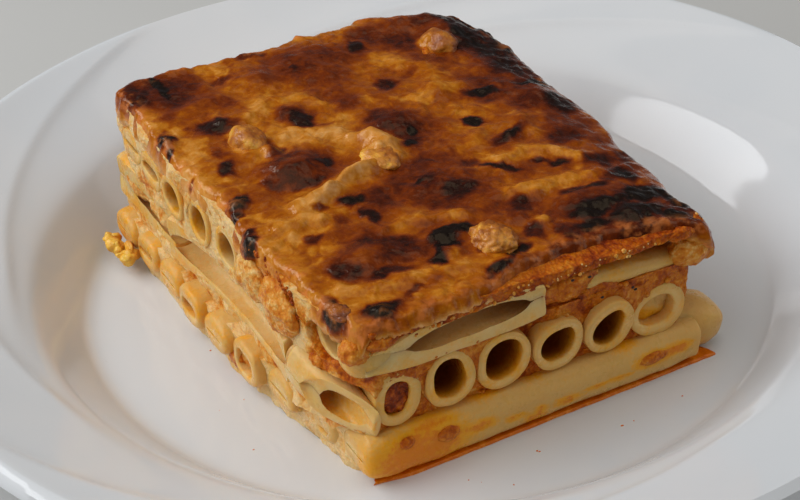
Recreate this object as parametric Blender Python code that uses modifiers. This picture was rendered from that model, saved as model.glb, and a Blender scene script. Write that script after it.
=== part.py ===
"""A cut square of baked pasta on its round dinner plate.

Three crossed layers of tube pasta lie in meat sauce under a browned bechamel crust.  Units are
metres with +Z up.  The origin is the centre of the plate, on the surface that it stands on.  The
slice has its own frame, from the near bottom corner of the cut: x runs along the front cut face,
y along the left cut face and z up from the floor of the plate.
"""

import math
import random

import bmesh
import bpy
from mathutils import Matrix, Vector, noise

MM = 0.001
GAP = 0.3 * MM

# Plate, a turned piece of glazed porcelain.
PLATE_RADIUS = 120.6 * MM
WELL_RADIUS = 76.0 * MM
FOOT_RADIUS = 68.0 * MM
FOOT_WIDTH = 3.5 * MM
FLOOR_TOP = 6.0 * MM
FLOOR_THICKNESS = 4.2 * MM
RIM_HEIGHT = 28.95 * MM
RIM_THICKNESS = 4.8 * MM
PLATE_SIDES = 40
RIM_STEPS = 7                   # points of the rolled rim
# Section of the plate as (radius, height) in millimetres: underside of the rim down to the foot
# ring, and the inside from the well up to the rim.
PLATE_UNDERSIDE = [(97.0, 15.5), (90.0, 11.5), (78.0, 2.8), (69.2, 1.6)]
PLATE_INSIDE = [(80.0, 6.8), (84.5, 10.0), (87.8, 14.7), (90.0, 17.7), (94.0, 19.4), (106.0, 24.0)]
FOOT_SLOPE = 1.2 * MM

# Slice: where its near corner stands on the plate, and the outline of each layer.
SLICE_CORNER = (-43.4 * MM, -57.0 * MM)
SLICE_DEPTH = 112.0 * MM
LEAN_WIDTH = 80.0 * MM      # the layers' heights are given at the left side and this far right of it
MERGE_DISTANCE = 0.00001
FAR_LEFT = -30              # reach of the cutter that trims the left side, in millimetres
LEFT_CUT_HEIGHTS = (5.0 * MM, 30.0 * MM)
# Cutter that trims the front top tube: (x, y) of its near and far side in millimetres, and heights.
FRONT_CUT_NEAR = [(-12, -5), (0.2, -5)]
FRONT_CUT_FAR = [(-12, 50), (0.2, 50)]
FRONT_CUT_HEIGHTS = (20.0 * MM, 45.0 * MM)

# Outline of the cut, as (y, x) of the left and of the right side of the slice.
BOTTOM_LEFT = [(0, 0.0), (26, -4.7), (47, -7.3), (64, -8.8), (86, -11.0), (112, -11.6)]
BOTTOM_RIGHT = [(0, 80.0), (10, 86.5), (60, 88.0), (112, 87.0)]
FILM_LEFT = [(0, 0.0), (8, 0.0), (26, -2.0), (64, -6.0), (88, -7.5), (111, -5.0)]
FILM_RIGHT = [(0, 83.6), (10, 86.0), (90, 86.0), (111, 84.0)]
MIDDLE_LEFT = [(0, 0.6), (20, -8.0), (26, -6.0), (50, -6.6), (80, -8.6), (112, -9.0)]
MIDDLE_RIGHT = [(0, 75.6), (20, 79.4), (60, 83.8), (112, 83.0)]
TOP_LEFT = [(0, 0.0), (12, -4.4), (50, -6.6), (78, -8.2), (112, -6.5)]
TOP_RIGHT = [(0, 80.4), (20, 84.0), (57, 88.4), (95, 89.6), (112, 86.0)]

# Pasta tubes.
TUBE_WIDTH = 12.2 * MM
TUBE_WALL = 2.15 * MM
TUBE_SIDES = 14
BOTTOM_COUNT = 9
TOP_COUNT = 8
BOTTOM_FIRST_Y = 5.2 * MM
BOTTOM_PITCH = 12.6 * MM
BEND_CUTS = 3
BOTTOM_UNEVEN_LEFT = (-0.6, 0.5)        # how far the cut ends of the tubes differ, in millimetres
BOTTOM_UNEVEN_RIGHT = (0.0, 1.5)
BOTTOM_SLACK = 0.05 * MM
FIRST_TUBE = (0.2 * MM, 77.5 * MM, 11.0 * MM)    # ends and width of the front bottom tube
SECOND_TUBE_END = 86.5 * MM
FILM_TOP = 1.3 * MM
BOTTOM_BEND = (13.0 * MM, -7.0 * MM)     # the second bottom tube's right end turns to the front
BOTTOM_TOP = (11.9 * MM, 9.3 * MM)       # top of the bottom tubes, at the left and at the right
MIDDLE_CENTRE = (19.7 * MM, 17.0 * MM)   # axis of the middle tubes, at the left and at the right
MIDDLE_TALL = 12.9 * MM
MIDDLE_SLACK = 0.1 * MM
MIDDLE_BACK = 1.5 * MM                   # how far the middle tubes stop short of the back
LEFT_TUBE_SIZE = (10.8 * MM, 12.1 * MM)  # width and height of the opened tubes
LEFT_TUBE_DROP = 0.4 * MM
LEFT_TUBE_RISE = (0.004, 0.008)          # slope of their two ends along y
# Tubes that the left cut opens along their length: x, and y of both ends, in millimetres.
LEFT_TUBES = [(-5.1, 0.3, 21.5), (-5.9, 23.0, 79.0), (-5.6, 80.5, 110.5)]
MIDDLE_FIRST_X = 6.7 * MM
MIDDLE_PITCH = 12.5 * MM
MIDDLE_STARTS = [0.2, -0.2, 0.3, -0.1, 0.4, 0.1]     # y of the front ends, in millimetres
MIDDLE_DROPS = [0.0, 0.0, 0.2, 0.1, 0.1, 0.4]        # how much lower each one lies
TOP_CENTRE = (31.5 * MM, 28.2 * MM)      # axis of the top tubes, at the left and at the right
TOP_TALL = 8.2 * MM
TOP_TALL_RIGHT = 7.6 * MM
TOP_SEAM = 39.5 * MM                     # where the two pieces of the front top tube meet
OPEN_TUBE_X = 0.4 * MM
OPEN_TUBE_Y = 0.4 * MM
SMALL_TUBE_Y = 2.6 * MM
SMALL_TUBE_GAP = 1.2 * MM
SMALL_TUBE_SIZE = (7.4 * MM, 7.0 * MM)
SMALL_TUBE_END = 74.0 * MM
TOP_FIRST_Y = 12.9 * MM
TOP_PITCH = 12.55 * MM
TOP_UNEVEN_LEFT = (0.0, 0.6)             # how far the top tubes stop inside the crust, in millimetres
TOP_UNEVEN_RIGHT = (6.4, 8.2)
BACK_RISE = 1.0 * MM                     # how much higher the upper layers lie at the back

# Crust: height of the top face at the front left, front right, back left and back right.
CRUST_CORNERS = (39.6 * MM, 37.2 * MM, 42.0 * MM, 39.2 * MM)
CRUST_THICKNESS = 2.4 * MM
CRUST_DROOP = 4.6 * MM
CRUST_DROOP_START = 68.0 * MM
CRUST_CELLS = (14, 18)
SAUCE_CELLS = (5, 7)
CRUST_DROOP_RUN = 16.0 * MM
DROOP_AT_BACK = 0.45            # share of the droop that is left at the back
CRUST_OVERHANG = 2.5 * MM
BACK_BULGE = 3.0 * MM
CORNER_CUT = 6.0 * MM           # how far the back right corner is rounded off
EDGE_FALL = 1.2 * MM
# Heights of the two flat sauce layers, and how far they lie inside the outline.
LOWER_SAUCE = (9.0 * MM, 17.0 * MM)
MIDDLE_SAUCE = (21.6 * MM, 29.8 * MM)
FILM_OUTSET = -0.6 * MM
LOWER_INSET = 1.3 * MM
MIDDLE_INSET = 1.2 * MM
TOP_INSET = 1.0 * MM
# Blisters of the crust: x, y, half width, half depth and height, in millimetres.
BLISTERS = [
    (38, 100, 15, 12, 1.0), (43, 65, 8, 7, 1.3), (13, 58, 10, 8, 1.9), (9, 21, 11, 8, 0.9),
    (63, 17, 12, 9, 0.9), (75, 100, 9, 12, 1.4), (66, 107, 13, 6, 1.0), (78, 61, 8, 8, 1.0),
    (40, 39, 12, 12, 0.8), (23, 79, 5, 7, 0.8), (67, 52, 4, 4, 0.7), (22, 98, 8, 9, 0.7),
]
# Lumps of browned cheese on the crust: x, y, half width, half depth and half height.
LUMPS = [
    (36.3, 14.4, 5.4, 5.8, 3.4), (8.9, 70.0, 4.8, 6.0, 2.9), (69.2, 95.0, 4.2, 6.0, 3.0),
    (30.8, 54.5, 6.2, 5.0, 2.3), (-1.4, 8.8, 3.4, 4.0, 2.4),
]
LUMP_SINK = 0.9 * MM
LUMP_RISE = 0.55                # share of its half height by which a lump's middle lies over the crust
LUMP_SWELL = 0.16               # unevenness of the lumps
LUMP_GRAIN = 1.7
SEED_STEP = 3.1
FRINGE_SEED = 5.0
SAUCE_DROP = 0.7 * MM           # how far the top sauce lies under the crust
SAUCE_THICKNESS = 2.8 * MM
# Fillings inside two of the middle tubes: number of the tube, and y of both ends, in millimetres.
FILLINGS = [(0, 1.6, 26.0), (5, 2.4, 24.0)]
# Melted cheese that spills out at the back of the left side: centre and half sizes, in millimetres.
FRINGE_CENTRE = (-13.8, 103.0, 4.6)
FRINGE_HALF = (4.4, 6.8, 3.8)

COLOURS = {
    "porcelain": (0.74, 0.76, 0.78, 1.0), "pasta": (0.80, 0.62, 0.32, 1.0),
    "meat_sauce": (0.58, 0.20, 0.05, 1.0), "oil_film": (0.55, 0.15, 0.01, 1.0),
    "crust": (0.52, 0.22, 0.05, 1.0), "browned_cheese": (0.66, 0.38, 0.14, 1.0),
}
ROUGHNESS = {"porcelain": 0.12, "pasta": 0.4, "meat_sauce": 0.45, "oil_film": 0.2, "crust": 0.4,
             "browned_cheese": 0.5}


def clear_scene():
    for old in list(bpy.data.objects):
        bpy.data.objects.remove(old, do_unlink=True)


def new_collection(name):
    collection = bpy.data.collections.new(name)
    bpy.context.scene.collection.children.link(collection)
    return collection


def material(name, kind):
    """One Principled material of the given kind of food or ware, for one object."""
    made = bpy.data.materials.new(name)
    made.use_nodes = True
    shader = made.node_tree.nodes["Principled BSDF"]
    shader.inputs["Base Color"].default_value = COLOURS[kind]
    shader.inputs["Roughness"].default_value = ROUGHNESS[kind]
    shader.inputs["Metallic"].default_value = 0.0
    made.diffuse_color = COLOURS[kind]
    return made


def place(name, mesh, collection, parent=None, kind=None):
    """An object in its collection, with its own material, or a cutter where no kind is given."""
    obj = bpy.data.objects.new(name, mesh)
    collection.objects.link(obj)
    obj.parent = parent
    if kind:
        obj.data.materials.append(material(name, kind))
    else:
        obj.hide_render = True
        obj.display_type = "WIRE"
    return obj


def smooth(mesh, degrees=50):
    mesh.shade_smooth()
    mesh.set_sharp_from_angle(angle=math.radians(degrees))


def mesh_from(bm, name):
    mesh = bpy.data.meshes.new(name)
    bm.to_mesh(mesh)
    bm.free()
    return mesh


def side(outline, y):
    """x of a side outline at the depth y, both in metres."""
    points = [(at * MM, x * MM) for at, x in outline]
    y = min(max(y, points[0][0]), points[-1][0])
    for (y0, x0), (y1, x1) in zip(points, points[1:]):
        if y <= y1:
            return x0 + (x1 - x0) * (y - y0) / (y1 - y0)
    return points[-1][1]


def lean(ends, x):
    """A height that falls from the left to the right of the slice."""
    return ends[0] + (ends[1] - ends[0]) * x / LEAN_WIDTH


# ---------------------------------------------------------------- plate

def plate_profile():
    """The plate's section as (radius, height), down its outer side first."""
    points = []
    edge = 0.5 * RIM_THICKNESS
    for step in range(RIM_STEPS):
        angle = math.radians(90 - 30 * step)
        points.append((PLATE_RADIUS - edge + edge * math.cos(angle),
                       RIM_HEIGHT - edge + edge * math.sin(angle)))
    points += [(radius * MM, height * MM) for radius, height in PLATE_UNDERSIDE]
    points.append((FOOT_RADIUS, 0.0))
    points.append((FOOT_RADIUS - FOOT_WIDTH, 0.0))
    points.append((FOOT_RADIUS - FOOT_WIDTH - FOOT_SLOPE, FLOOR_TOP - FLOOR_THICKNESS))
    points.append((0.0, FLOOR_TOP - FLOOR_THICKNESS))
    points.append((0.0, FLOOR_TOP))
    points.append((WELL_RADIUS, FLOOR_TOP))
    points += [(radius * MM, height * MM) for radius, height in PLATE_INSIDE]
    return points


def add_plate(collection):
    bm = bmesh.new()
    corners = [bm.verts.new((radius, 0.0, height)) for radius, height in plate_profile()]
    for first, second in zip(corners, corners[1:] + corners[:1]):
        if first.co.x > 0 or second.co.x > 0:
            bm.edges.new((first, second))
    mesh = bpy.data.meshes.new("plate")
    bm.to_mesh(mesh)
    bm.free()
    plate = place("plate", mesh, collection, kind="porcelain")
    turn = plate.modifiers.new("turn", "SCREW")
    turn.steps = PLATE_SIDES
    turn.render_steps = PLATE_SIDES
    turn.use_merge_vertices = True
    turn.merge_threshold = MERGE_DISTANCE
    turn.use_smooth_shade = True
    return plate


# ---------------------------------------------------------------- pasta tubes

def tube_surface(length, width, tall_start, tall_end, bend=None, grow=0.0, caps=False):
    """An oval tube's outer surface along local z, centred, growing by a clearance on each side.

    A bend is the length of the bent end and how far that end moves along local x.
    """
    bm = bmesh.new()
    bmesh.ops.create_cone(bm, cap_ends=caps, segments=TUBE_SIDES, radius1=0.5, radius2=0.5, depth=1.0)
    if bend:
        rails = [edge for edge in bm.edges if abs(edge.verts[0].co.z - edge.verts[1].co.z) > 0.5]
        bmesh.ops.subdivide_edges(bm, edges=rails, cuts=BEND_CUTS)
    for vert in bm.verts:
        part = vert.co.z + 0.5
        moved = 0.0
        if bend and part > 0:
            ring = round(part * (BEND_CUTS + 1)) - 1
            into = ring / BEND_CUTS
            part = 1.0 - bend[0] / length * (1.0 - into)
            moved = bend[1] * into ** 2
        tall = tall_start + (tall_end - tall_start) * part
        vert.co = Vector((vert.co.x * (width + 2 * grow) + moved, vert.co.y * (tall + 2 * grow),
                          (part - 0.5) * (length + 2 * grow)))
    return bm


def along(start, end):
    """The placing of a tube from start to end, with local x level and local y upwards."""
    axis = (end - start).normalized()
    level = Vector((0, 0, 1)).cross(axis).normalized()
    up = axis.cross(level)
    turn = Matrix((level, up, axis)).transposed().to_4x4()
    return Matrix.Translation((start + end) / 2) @ turn


class Layer:
    """One layer of tubes, with the fat solid copies that cut the sauce around them."""

    def __init__(self, name, pieces, slice_frame):
        self.name = name
        self.pieces = pieces
        self.slice_frame = slice_frame
        self.cutters = new_collection(name + "_cutters")
        self.count = 0

    def add(self, start, end, width, tall_start, tall_end=None, bend=None):
        self.count += 1
        tall_end = tall_end or tall_start
        name = f"{self.name}_tube_{self.count:02d}"
        start, end = Vector(start), Vector(end)
        length = (end - start).length
        bm = tube_surface(length, width, tall_start, tall_end, bend)
        tube = place(name, mesh_from(bm, name), self.pieces, self.slice_frame, "pasta")
        smooth(tube.data)
        tube.matrix_local = along(start, end)
        wall = tube.modifiers.new("wall", "SOLIDIFY")
        wall.thickness = TUBE_WALL
        wall.offset = -1.0
        wall.use_even_offset = True
        bm = tube_surface(length, width, tall_start, tall_end, bend, GAP, caps=True)
        cutter = place(name + "_cutter", mesh_from(bm, name + "_cutter"), self.cutters,
                       self.slice_frame)
        cutter.matrix_local = along(start, end)
        return tube


def add_bottom_layer(pieces, slice_frame):
    """Tubes along x, pressed flat, thinner towards the right."""
    layer = Layer("bottom", pieces, slice_frame)
    rng = random.Random(3)
    for index in range(BOTTOM_COUNT):
        y = BOTTOM_FIRST_Y + index * BOTTOM_PITCH
        left = side(BOTTOM_LEFT, y) + rng.uniform(*BOTTOM_UNEVEN_LEFT) * MM
        right = side(BOTTOM_RIGHT, y) - rng.uniform(*BOTTOM_UNEVEN_RIGHT) * MM
        tall = [lean(BOTTOM_TOP, x) - FILM_TOP - 2 * GAP for x in (left, right)]
        base = FILM_TOP + 1.5 * GAP
        width = TUBE_WIDTH - BOTTOM_SLACK
        bend = None
        if index == 0:
            left, right, width = FIRST_TUBE
        if index == 1:
            right, bend = SECOND_TUBE_END, BOTTOM_BEND
        layer.add((left, y, base + tall[0] / 2), (right, y, base + tall[1] / 2),
                  width, tall[0], tall[1], bend)
    return layer


def add_middle_layer(pieces, cutters, slice_frame):
    """Tubes along y: six that end at the front face, and the cut ones of the left face."""
    layer = Layer("middle", pieces, slice_frame)
    for index, (start, drop) in enumerate(zip(MIDDLE_STARTS, MIDDLE_DROPS)):
        x = MIDDLE_FIRST_X + index * MIDDLE_PITCH
        height = lean(MIDDLE_CENTRE, x) - drop * MM
        layer.add((x, start * MM, height), (x, SLICE_DEPTH - MIDDLE_BACK, height + BACK_RISE / 2),
                  TUBE_WIDTH - MIDDLE_SLACK, MIDDLE_TALL)
    height = lean(MIDDLE_CENTRE, 0.0) - LEFT_TUBE_DROP
    outside = outline_prism("left_side_cutter", [(0, FAR_LEFT), (112, FAR_LEFT)], MIDDLE_LEFT, 0.0,
                            *LEFT_CUT_HEIGHTS, cutters, slice_frame)
    for x, start, end in LEFT_TUBES:
        near_rise, far_rise = LEFT_TUBE_RISE
        tube = layer.add((x * MM, start * MM, height + near_rise * start * MM),
                         (x * MM, end * MM, height + far_rise * end * MM), *LEFT_TUBE_SIZE)
        cut(tube, outside, "left cut")
    return layer


def add_top_layer(pieces, cutters, slice_frame):
    """Tubes along x under the crust.  The front one is two pieces, and the left one is cut open."""
    layer = Layer("top", pieces, slice_frame)
    front = outline_prism("front_side_cutter", FRONT_CUT_NEAR, FRONT_CUT_FAR, 0.0,
                          *FRONT_CUT_HEIGHTS, cutters, slice_frame)
    open_tube = layer.add((OPEN_TUBE_X, OPEN_TUBE_Y, lean(TOP_CENTRE, 0.0)),
                          (TOP_SEAM, OPEN_TUBE_Y, lean(TOP_CENTRE, TOP_SEAM)), TUBE_WIDTH - GAP, TOP_TALL)
    cut(open_tube, front, "front cut")
    layer.add((TOP_SEAM + SMALL_TUBE_GAP, SMALL_TUBE_Y, lean(TOP_CENTRE, TOP_SEAM)),
              (SMALL_TUBE_END, SMALL_TUBE_Y, lean(TOP_CENTRE, SMALL_TUBE_END)), *SMALL_TUBE_SIZE)
    rng = random.Random(8)
    for index in range(TOP_COUNT):
        y = TOP_FIRST_Y + index * TOP_PITCH
        rise = BACK_RISE * y / SLICE_DEPTH
        left = side(TOP_LEFT, y) + rng.uniform(*TOP_UNEVEN_LEFT) * MM
        right = side(TOP_RIGHT, y) - rng.uniform(*TOP_UNEVEN_RIGHT) * MM
        layer.add((left, y, lean(TOP_CENTRE, left) + rise), (right, y, lean(TOP_CENTRE, right) + rise),
                  TUBE_WIDTH, TOP_TALL, TOP_TALL_RIGHT)
    return layer


# ---------------------------------------------------------------- sauce and crust

def outline_prism(name, left, right, inset, low, high, collection, slice_frame, kind=None):
    """A flat slab with the outline of a layer of the slice, as a filled curve with thickness."""
    curve = bpy.data.curves.new(name, "CURVE")
    curve.dimensions = "2D"
    curve.fill_mode = "BOTH"
    curve.extrude = (high - low) / 2
    points = [(x * MM + inset, y * MM) for y, x in left]
    points += [(x * MM - inset, y * MM) for y, x in reversed(right)]
    spline = curve.splines.new("POLY")
    spline.points.add(len(points) - 1)
    nearest, farthest = left[0][0] * MM + inset, left[-1][0] * MM - inset
    for point, (x, y) in zip(spline.points, points):
        point.co = (x, min(max(y, nearest), farthest), 0.0, 1.0)
    spline.use_cyclic_u = True
    flat = bpy.data.objects.new(name + "_outline", curve)
    bpy.context.scene.collection.objects.link(flat)
    bpy.context.view_layer.update()
    mesh = bpy.data.meshes.new_from_object(flat.evaluated_get(bpy.context.evaluated_depsgraph_get()))
    bpy.data.objects.remove(flat)
    bm = bmesh.new()
    bm.from_mesh(mesh)
    bmesh.ops.remove_doubles(bm, verts=bm.verts, dist=MERGE_DISTANCE)
    bmesh.ops.recalc_face_normals(bm, faces=bm.faces)
    bpy.data.meshes.remove(mesh)
    obj = place(name, mesh_from(bm, name), collection, slice_frame, kind)
    obj.location = (0.0, 0.0, (low + high) / 2)
    return obj


def cut(obj, cutters, name):
    """Takes every solid of a collection, or one solid, out of an object."""
    modifier = obj.modifiers.new(name, "BOOLEAN")
    modifier.operation = "DIFFERENCE"
    modifier.solver = "EXACT"
    if isinstance(cutters, bpy.types.Collection):
        modifier.operand_type = "COLLECTION"
        modifier.collection = cutters
    else:
        modifier.object = cutters


def tilt(obj, ends, rise=0.0):
    """Leans a slab with the layers: down to the right, and up to the back."""
    obj.rotation_euler = (rise / SLICE_DEPTH, (ends[0] - ends[1]) / LEAN_WIDTH, 0.0)


def add_sauces(pieces, slice_frame, bottom, middle, top):
    film = outline_prism("base_sauce", FILM_LEFT, FILM_RIGHT, FILM_OUTSET, GAP, FILM_TOP, pieces,
                         slice_frame, "oil_film")
    smooth(film.data)
    low = outline_prism("meat_sauce_lower", MIDDLE_LEFT, MIDDLE_RIGHT, LOWER_INSET,
                        *LOWER_SAUCE, pieces, slice_frame, "meat_sauce")
    tilt(low, BOTTOM_TOP)
    cut(low, bottom.cutters, "bottom tubes")
    cut(low, middle.cutters, "middle tubes")
    mid = outline_prism("meat_sauce_middle", MIDDLE_LEFT, MIDDLE_RIGHT, MIDDLE_INSET,
                        *MIDDLE_SAUCE, pieces, slice_frame, "meat_sauce")
    tilt(mid, MIDDLE_CENTRE, BACK_RISE / 2)
    cut(mid, middle.cutters, "middle tubes")
    cut(mid, top.cutters, "top tubes")


def crust_height(x, y):
    """Height of the crust's top face over the floor of the plate."""
    front_left, front_right, back_left, back_right = CRUST_CORNERS
    across = min(max(x / LEAN_WIDTH, 0.0), 1.0)
    back = min(max(y / SLICE_DEPTH, 0.0), 1.0)
    front = front_left + (front_right - front_left) * across
    rear = back_left + (back_right - back_left) * across
    height = front + (rear - front) * back
    fall = min(max((x - CRUST_DROOP_START) / CRUST_DROOP_RUN, 0.0), 1.0)
    height -= CRUST_DROOP * fall * fall * (1.0 - (1.0 - DROOP_AT_BACK) * back)
    for at_x, at_y, half_x, half_y, tall in BLISTERS:
        distance = ((x / MM - at_x) / half_x) ** 2 + ((y / MM - at_y) / half_y) ** 2
        if distance < 1.0:
            height += tall * MM * (1.0 - distance) ** 2
    return height


def crust_sheet(name, cells, inset, drop):
    """The top face of the slice as an open grid inside its outline, lowered by drop."""
    cells_x, cells_y = cells
    bm = bmesh.new()
    bmesh.ops.create_grid(bm, x_segments=cells_x, y_segments=cells_y, size=0.5)
    for vert in bm.verts:
        across, back = vert.co.x + 0.5, vert.co.y + 0.5
        y = inset + (SLICE_DEPTH + CRUST_OVERHANG - 2 * inset) * back
        left = side(TOP_LEFT, y) + inset
        right = side(TOP_RIGHT, y) - inset
        x = left + (right - left) * across
        bulge = BACK_BULGE * math.sin(math.pi * across) * back ** 6
        corner = CORNER_CUT * across ** 8 * back ** 8
        edge = max(abs(2 * across - 1), abs(2 * back - 1)) ** 14
        height = crust_height(x, y) - drop - EDGE_FALL * edge
        vert.co = Vector((x - corner, y + bulge - corner, height))
    return mesh_from(bm, name)


def rough_ball(half_sizes, seed, grow=0.0):
    """An uneven lump, given by its three half sizes."""
    bm = bmesh.new()
    bmesh.ops.create_icosphere(bm, subdivisions=2, radius=1.0)
    for vert in bm.verts:
        swell = 1.0 + LUMP_SWELL * noise.noise(vert.co * LUMP_GRAIN + Vector((seed * SEED_STEP, 0, 0)))
        vert.co = Vector([part * (size * swell + grow) for part, size in zip(vert.co, half_sizes)])
    return bm


def add_fillings(pieces, slice_frame):
    """Sauce that was pressed into two of the tubes of the front face."""
    for number, (index, start, end) in enumerate(FILLINGS, 1):
        x = MIDDLE_FIRST_X + index * MIDDLE_PITCH
        height = lean(MIDDLE_CENTRE, x) - MIDDLE_DROPS[index] * MM
        slim = TUBE_WALL + 1.5 * GAP
        bm = tube_surface((end - start) * MM, TUBE_WIDTH - MIDDLE_SLACK - 2 * slim,
                          MIDDLE_TALL - 2 * slim, MIDDLE_TALL - 2 * slim, caps=True)
        name = f"tube_filling_{number}"
        filling = place(name, mesh_from(bm, name), pieces, slice_frame, "meat_sauce")
        filling.matrix_local = along(Vector((x, start * MM, height)), Vector((x, end * MM, height)))
        smooth(filling.data)


def add_fringe(pieces, slice_frame, bottom):
    """The ragged bit of melted cheese on the floor of the plate, against the bottom tubes."""
    ball = rough_ball([size * MM for size in FRINGE_HALF], FRINGE_SEED)
    fringe = place("cheese_fringe", mesh_from(ball, "cheese_fringe"), pieces, slice_frame, "browned_cheese")
    fringe.location = [part * MM for part in FRINGE_CENTRE]
    smooth(fringe.data)
    cut(fringe, bottom.cutters, "bottom tubes")


def add_lumps(pieces, cutters, slice_frame):
    """Loose lumps of browned cheese, sunk a little into the crust, with a fat cutter for each."""
    for index, (x, y, half_x, half_y, half_z) in enumerate(LUMPS, 1):
        name = f"cheese_lump_{index}"
        height = crust_height(x * MM, y * MM) + (half_z * MM * LUMP_RISE - LUMP_SINK)
        for grow, target, kind in ((0.0, pieces, "browned_cheese"), (1.3 * GAP, cutters, None)):
            bm = rough_ball((half_x * MM, half_y * MM, half_z * MM), index, grow)
            label = name if kind else name + "_cutter"
            lump = place(label, mesh_from(bm, label), target, slice_frame, kind)
            lump.location = (x * MM, y * MM, height)
            smooth(lump.data)


def add_crust(pieces, slice_frame, top):
    lump_cutters = new_collection("lump_cutters")
    add_lumps(pieces, lump_cutters, slice_frame)
    mesh = crust_sheet("meat_sauce_top", SAUCE_CELLS, TOP_INSET, CRUST_THICKNESS + SAUCE_DROP)
    sauce = place("meat_sauce_top", mesh, pieces, slice_frame, "meat_sauce")
    body = sauce.modifiers.new("body", "SOLIDIFY")
    body.thickness = SAUCE_THICKNESS
    body.offset = -1.0
    cut(sauce, top.cutters, "top tubes")
    mesh = crust_sheet("bechamel_crust", CRUST_CELLS, 0.0, 0.0)
    crust = place("bechamel_crust", mesh, pieces, slice_frame, "crust")
    smooth(crust.data)
    sheet = crust.modifiers.new("sheet", "SOLIDIFY")
    sheet.thickness = CRUST_THICKNESS
    sheet.offset = -1.0
    cut(crust, lump_cutters, "lumps")


def build():
    clear_scene()
    pieces = new_collection("baked_pasta")
    cutters = new_collection("cutters")
    slice_frame = bpy.data.objects.new("slice_corner", None)
    slice_frame.location = (SLICE_CORNER[0], SLICE_CORNER[1], FLOOR_TOP)
    pieces.objects.link(slice_frame)
    add_plate(pieces)
    bottom = add_bottom_layer(pieces, slice_frame)
    middle = add_middle_layer(pieces, cutters, slice_frame)
    top = add_top_layer(pieces, cutters, slice_frame)
    add_sauces(pieces, slice_frame, bottom, middle, top)
    add_fillings(pieces, slice_frame)
    add_fringe(pieces, slice_frame, bottom)
    add_crust(pieces, slice_frame, top)


build()
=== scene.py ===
"""Looks of a cut square of baked tube pasta with a browned bechamel crust, on its white plate.

Inside this file the slice has its own frame in millimetres, from the near bottom corner of the
cut: x runs along the front cut face, y along the left cut face and z up from the plate's floor.
"""

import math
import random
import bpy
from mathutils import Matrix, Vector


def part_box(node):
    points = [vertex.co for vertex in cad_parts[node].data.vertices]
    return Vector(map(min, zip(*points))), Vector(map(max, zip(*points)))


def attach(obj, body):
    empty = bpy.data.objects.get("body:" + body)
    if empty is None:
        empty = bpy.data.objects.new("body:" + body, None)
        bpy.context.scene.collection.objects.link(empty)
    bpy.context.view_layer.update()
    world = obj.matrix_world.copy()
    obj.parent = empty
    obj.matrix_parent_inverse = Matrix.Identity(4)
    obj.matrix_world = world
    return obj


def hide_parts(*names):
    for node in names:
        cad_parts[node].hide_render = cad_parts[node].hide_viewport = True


bl_info = {
    "name": "Baked Pasta on a Plate",
    "version": (1, 0, 0),
    "blender": (4, 5, 0),
    "location": "View3D > Sidebar > Baked Pasta",
    "description": "Builds a cut square of baked tube pasta, layer by layer, on its dinner plate",
    "category": "Add Mesh",
}

import bmesh
import bpy
import numpy as np
from bpy.props import FloatProperty, FloatVectorProperty, IntProperty, PointerProperty
from bpy.types import Operator, Panel, PropertyGroup
from mathutils import Vector, noise

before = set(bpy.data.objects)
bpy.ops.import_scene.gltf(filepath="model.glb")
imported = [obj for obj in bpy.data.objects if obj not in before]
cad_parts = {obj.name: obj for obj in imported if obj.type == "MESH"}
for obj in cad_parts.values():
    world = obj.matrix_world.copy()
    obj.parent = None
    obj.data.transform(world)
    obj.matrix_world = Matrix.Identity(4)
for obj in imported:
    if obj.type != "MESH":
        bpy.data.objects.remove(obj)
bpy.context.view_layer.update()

MM = 0.001
BODY = "root"


# ---------------------------------------------------------------- the frame and its measures

def cut_corner():
    """Near bottom corner of the slice, where both cut faces meet the floor of the plate."""
    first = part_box("bottom_tube_01")[0]
    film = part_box("base_sauce")[0]
    return np.array((first.x - 0.2 * MM, first.y + 0.3 * MM, film.z - 0.3 * MM))


CORNER = cut_corner()


def local_box(node):
    """Lowest and highest corner of a CAD node, in the slice's own millimetres."""
    low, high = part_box(node)
    return (np.array(low) - CORNER) / MM, (np.array(high) - CORNER) / MM


def nodes_of(start):
    """Names of the CAD nodes that begin alike, in order."""
    return sorted(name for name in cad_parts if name.startswith(start))


WIDTH = 80.0                   # of the slice at its front
DEPTH = 112.0                  # of the slice from front to back
# Height of the crust's top at the front left, front right, back left and back right corners.
CRUST_CORNERS = (39.6, 37.2, 42.4, 39.2)
DROOP = 4.6                    # how far the crust hangs at its right side
DROOP_START = 68.0             # x at which it begins to hang
DROOP_RUN = 16.0               # and the way on which it comes down
BLISTER_RISE = 1.3             # all blisters are this much taller than their own height

# Edges of the crust.  Left and right are (y, x), front and back are (x, y).
CRUST_LEFT = [(0, -1.2), (8, -4.6), (22, -5.4), (38, -7.6), (52, -6.2), (66, -8.2), (84, -8.8),
              (98, -8.4), (112, -7.6)]
CRUST_RIGHT = [(0, 81.2), (8, 82.6), (16, 81.8), (24, 84.2), (38, 83.4), (48, 86.4), (60, 87.2),
               (72, 86.2), (84, 86.2), (95, 87.6), (104, 86.2), (112, 82.0)]
CRUST_FRONT = [(-6, 1.2), (2, 0.0), (12, -0.5), (20, -0.2), (30, 1.0), (38, 3.6), (48, 4.8),
               (58, 4.4), (66, 3.0), (72, 1.4), (79, -0.6), (84, 0.6), (90, 3.0)]
CRUST_BACK = [(-10, 111.0), (-4, 111.4), (8, 112.4), (24, 111.6), (37, 112.4), (41, 114.8),
              (45, 112.6), (53, 113.2), (58, 115.0), (62, 114.2), (67, 110.6), (74, 108.6),
              (81, 107.6), (90, 104.0)]
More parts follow.
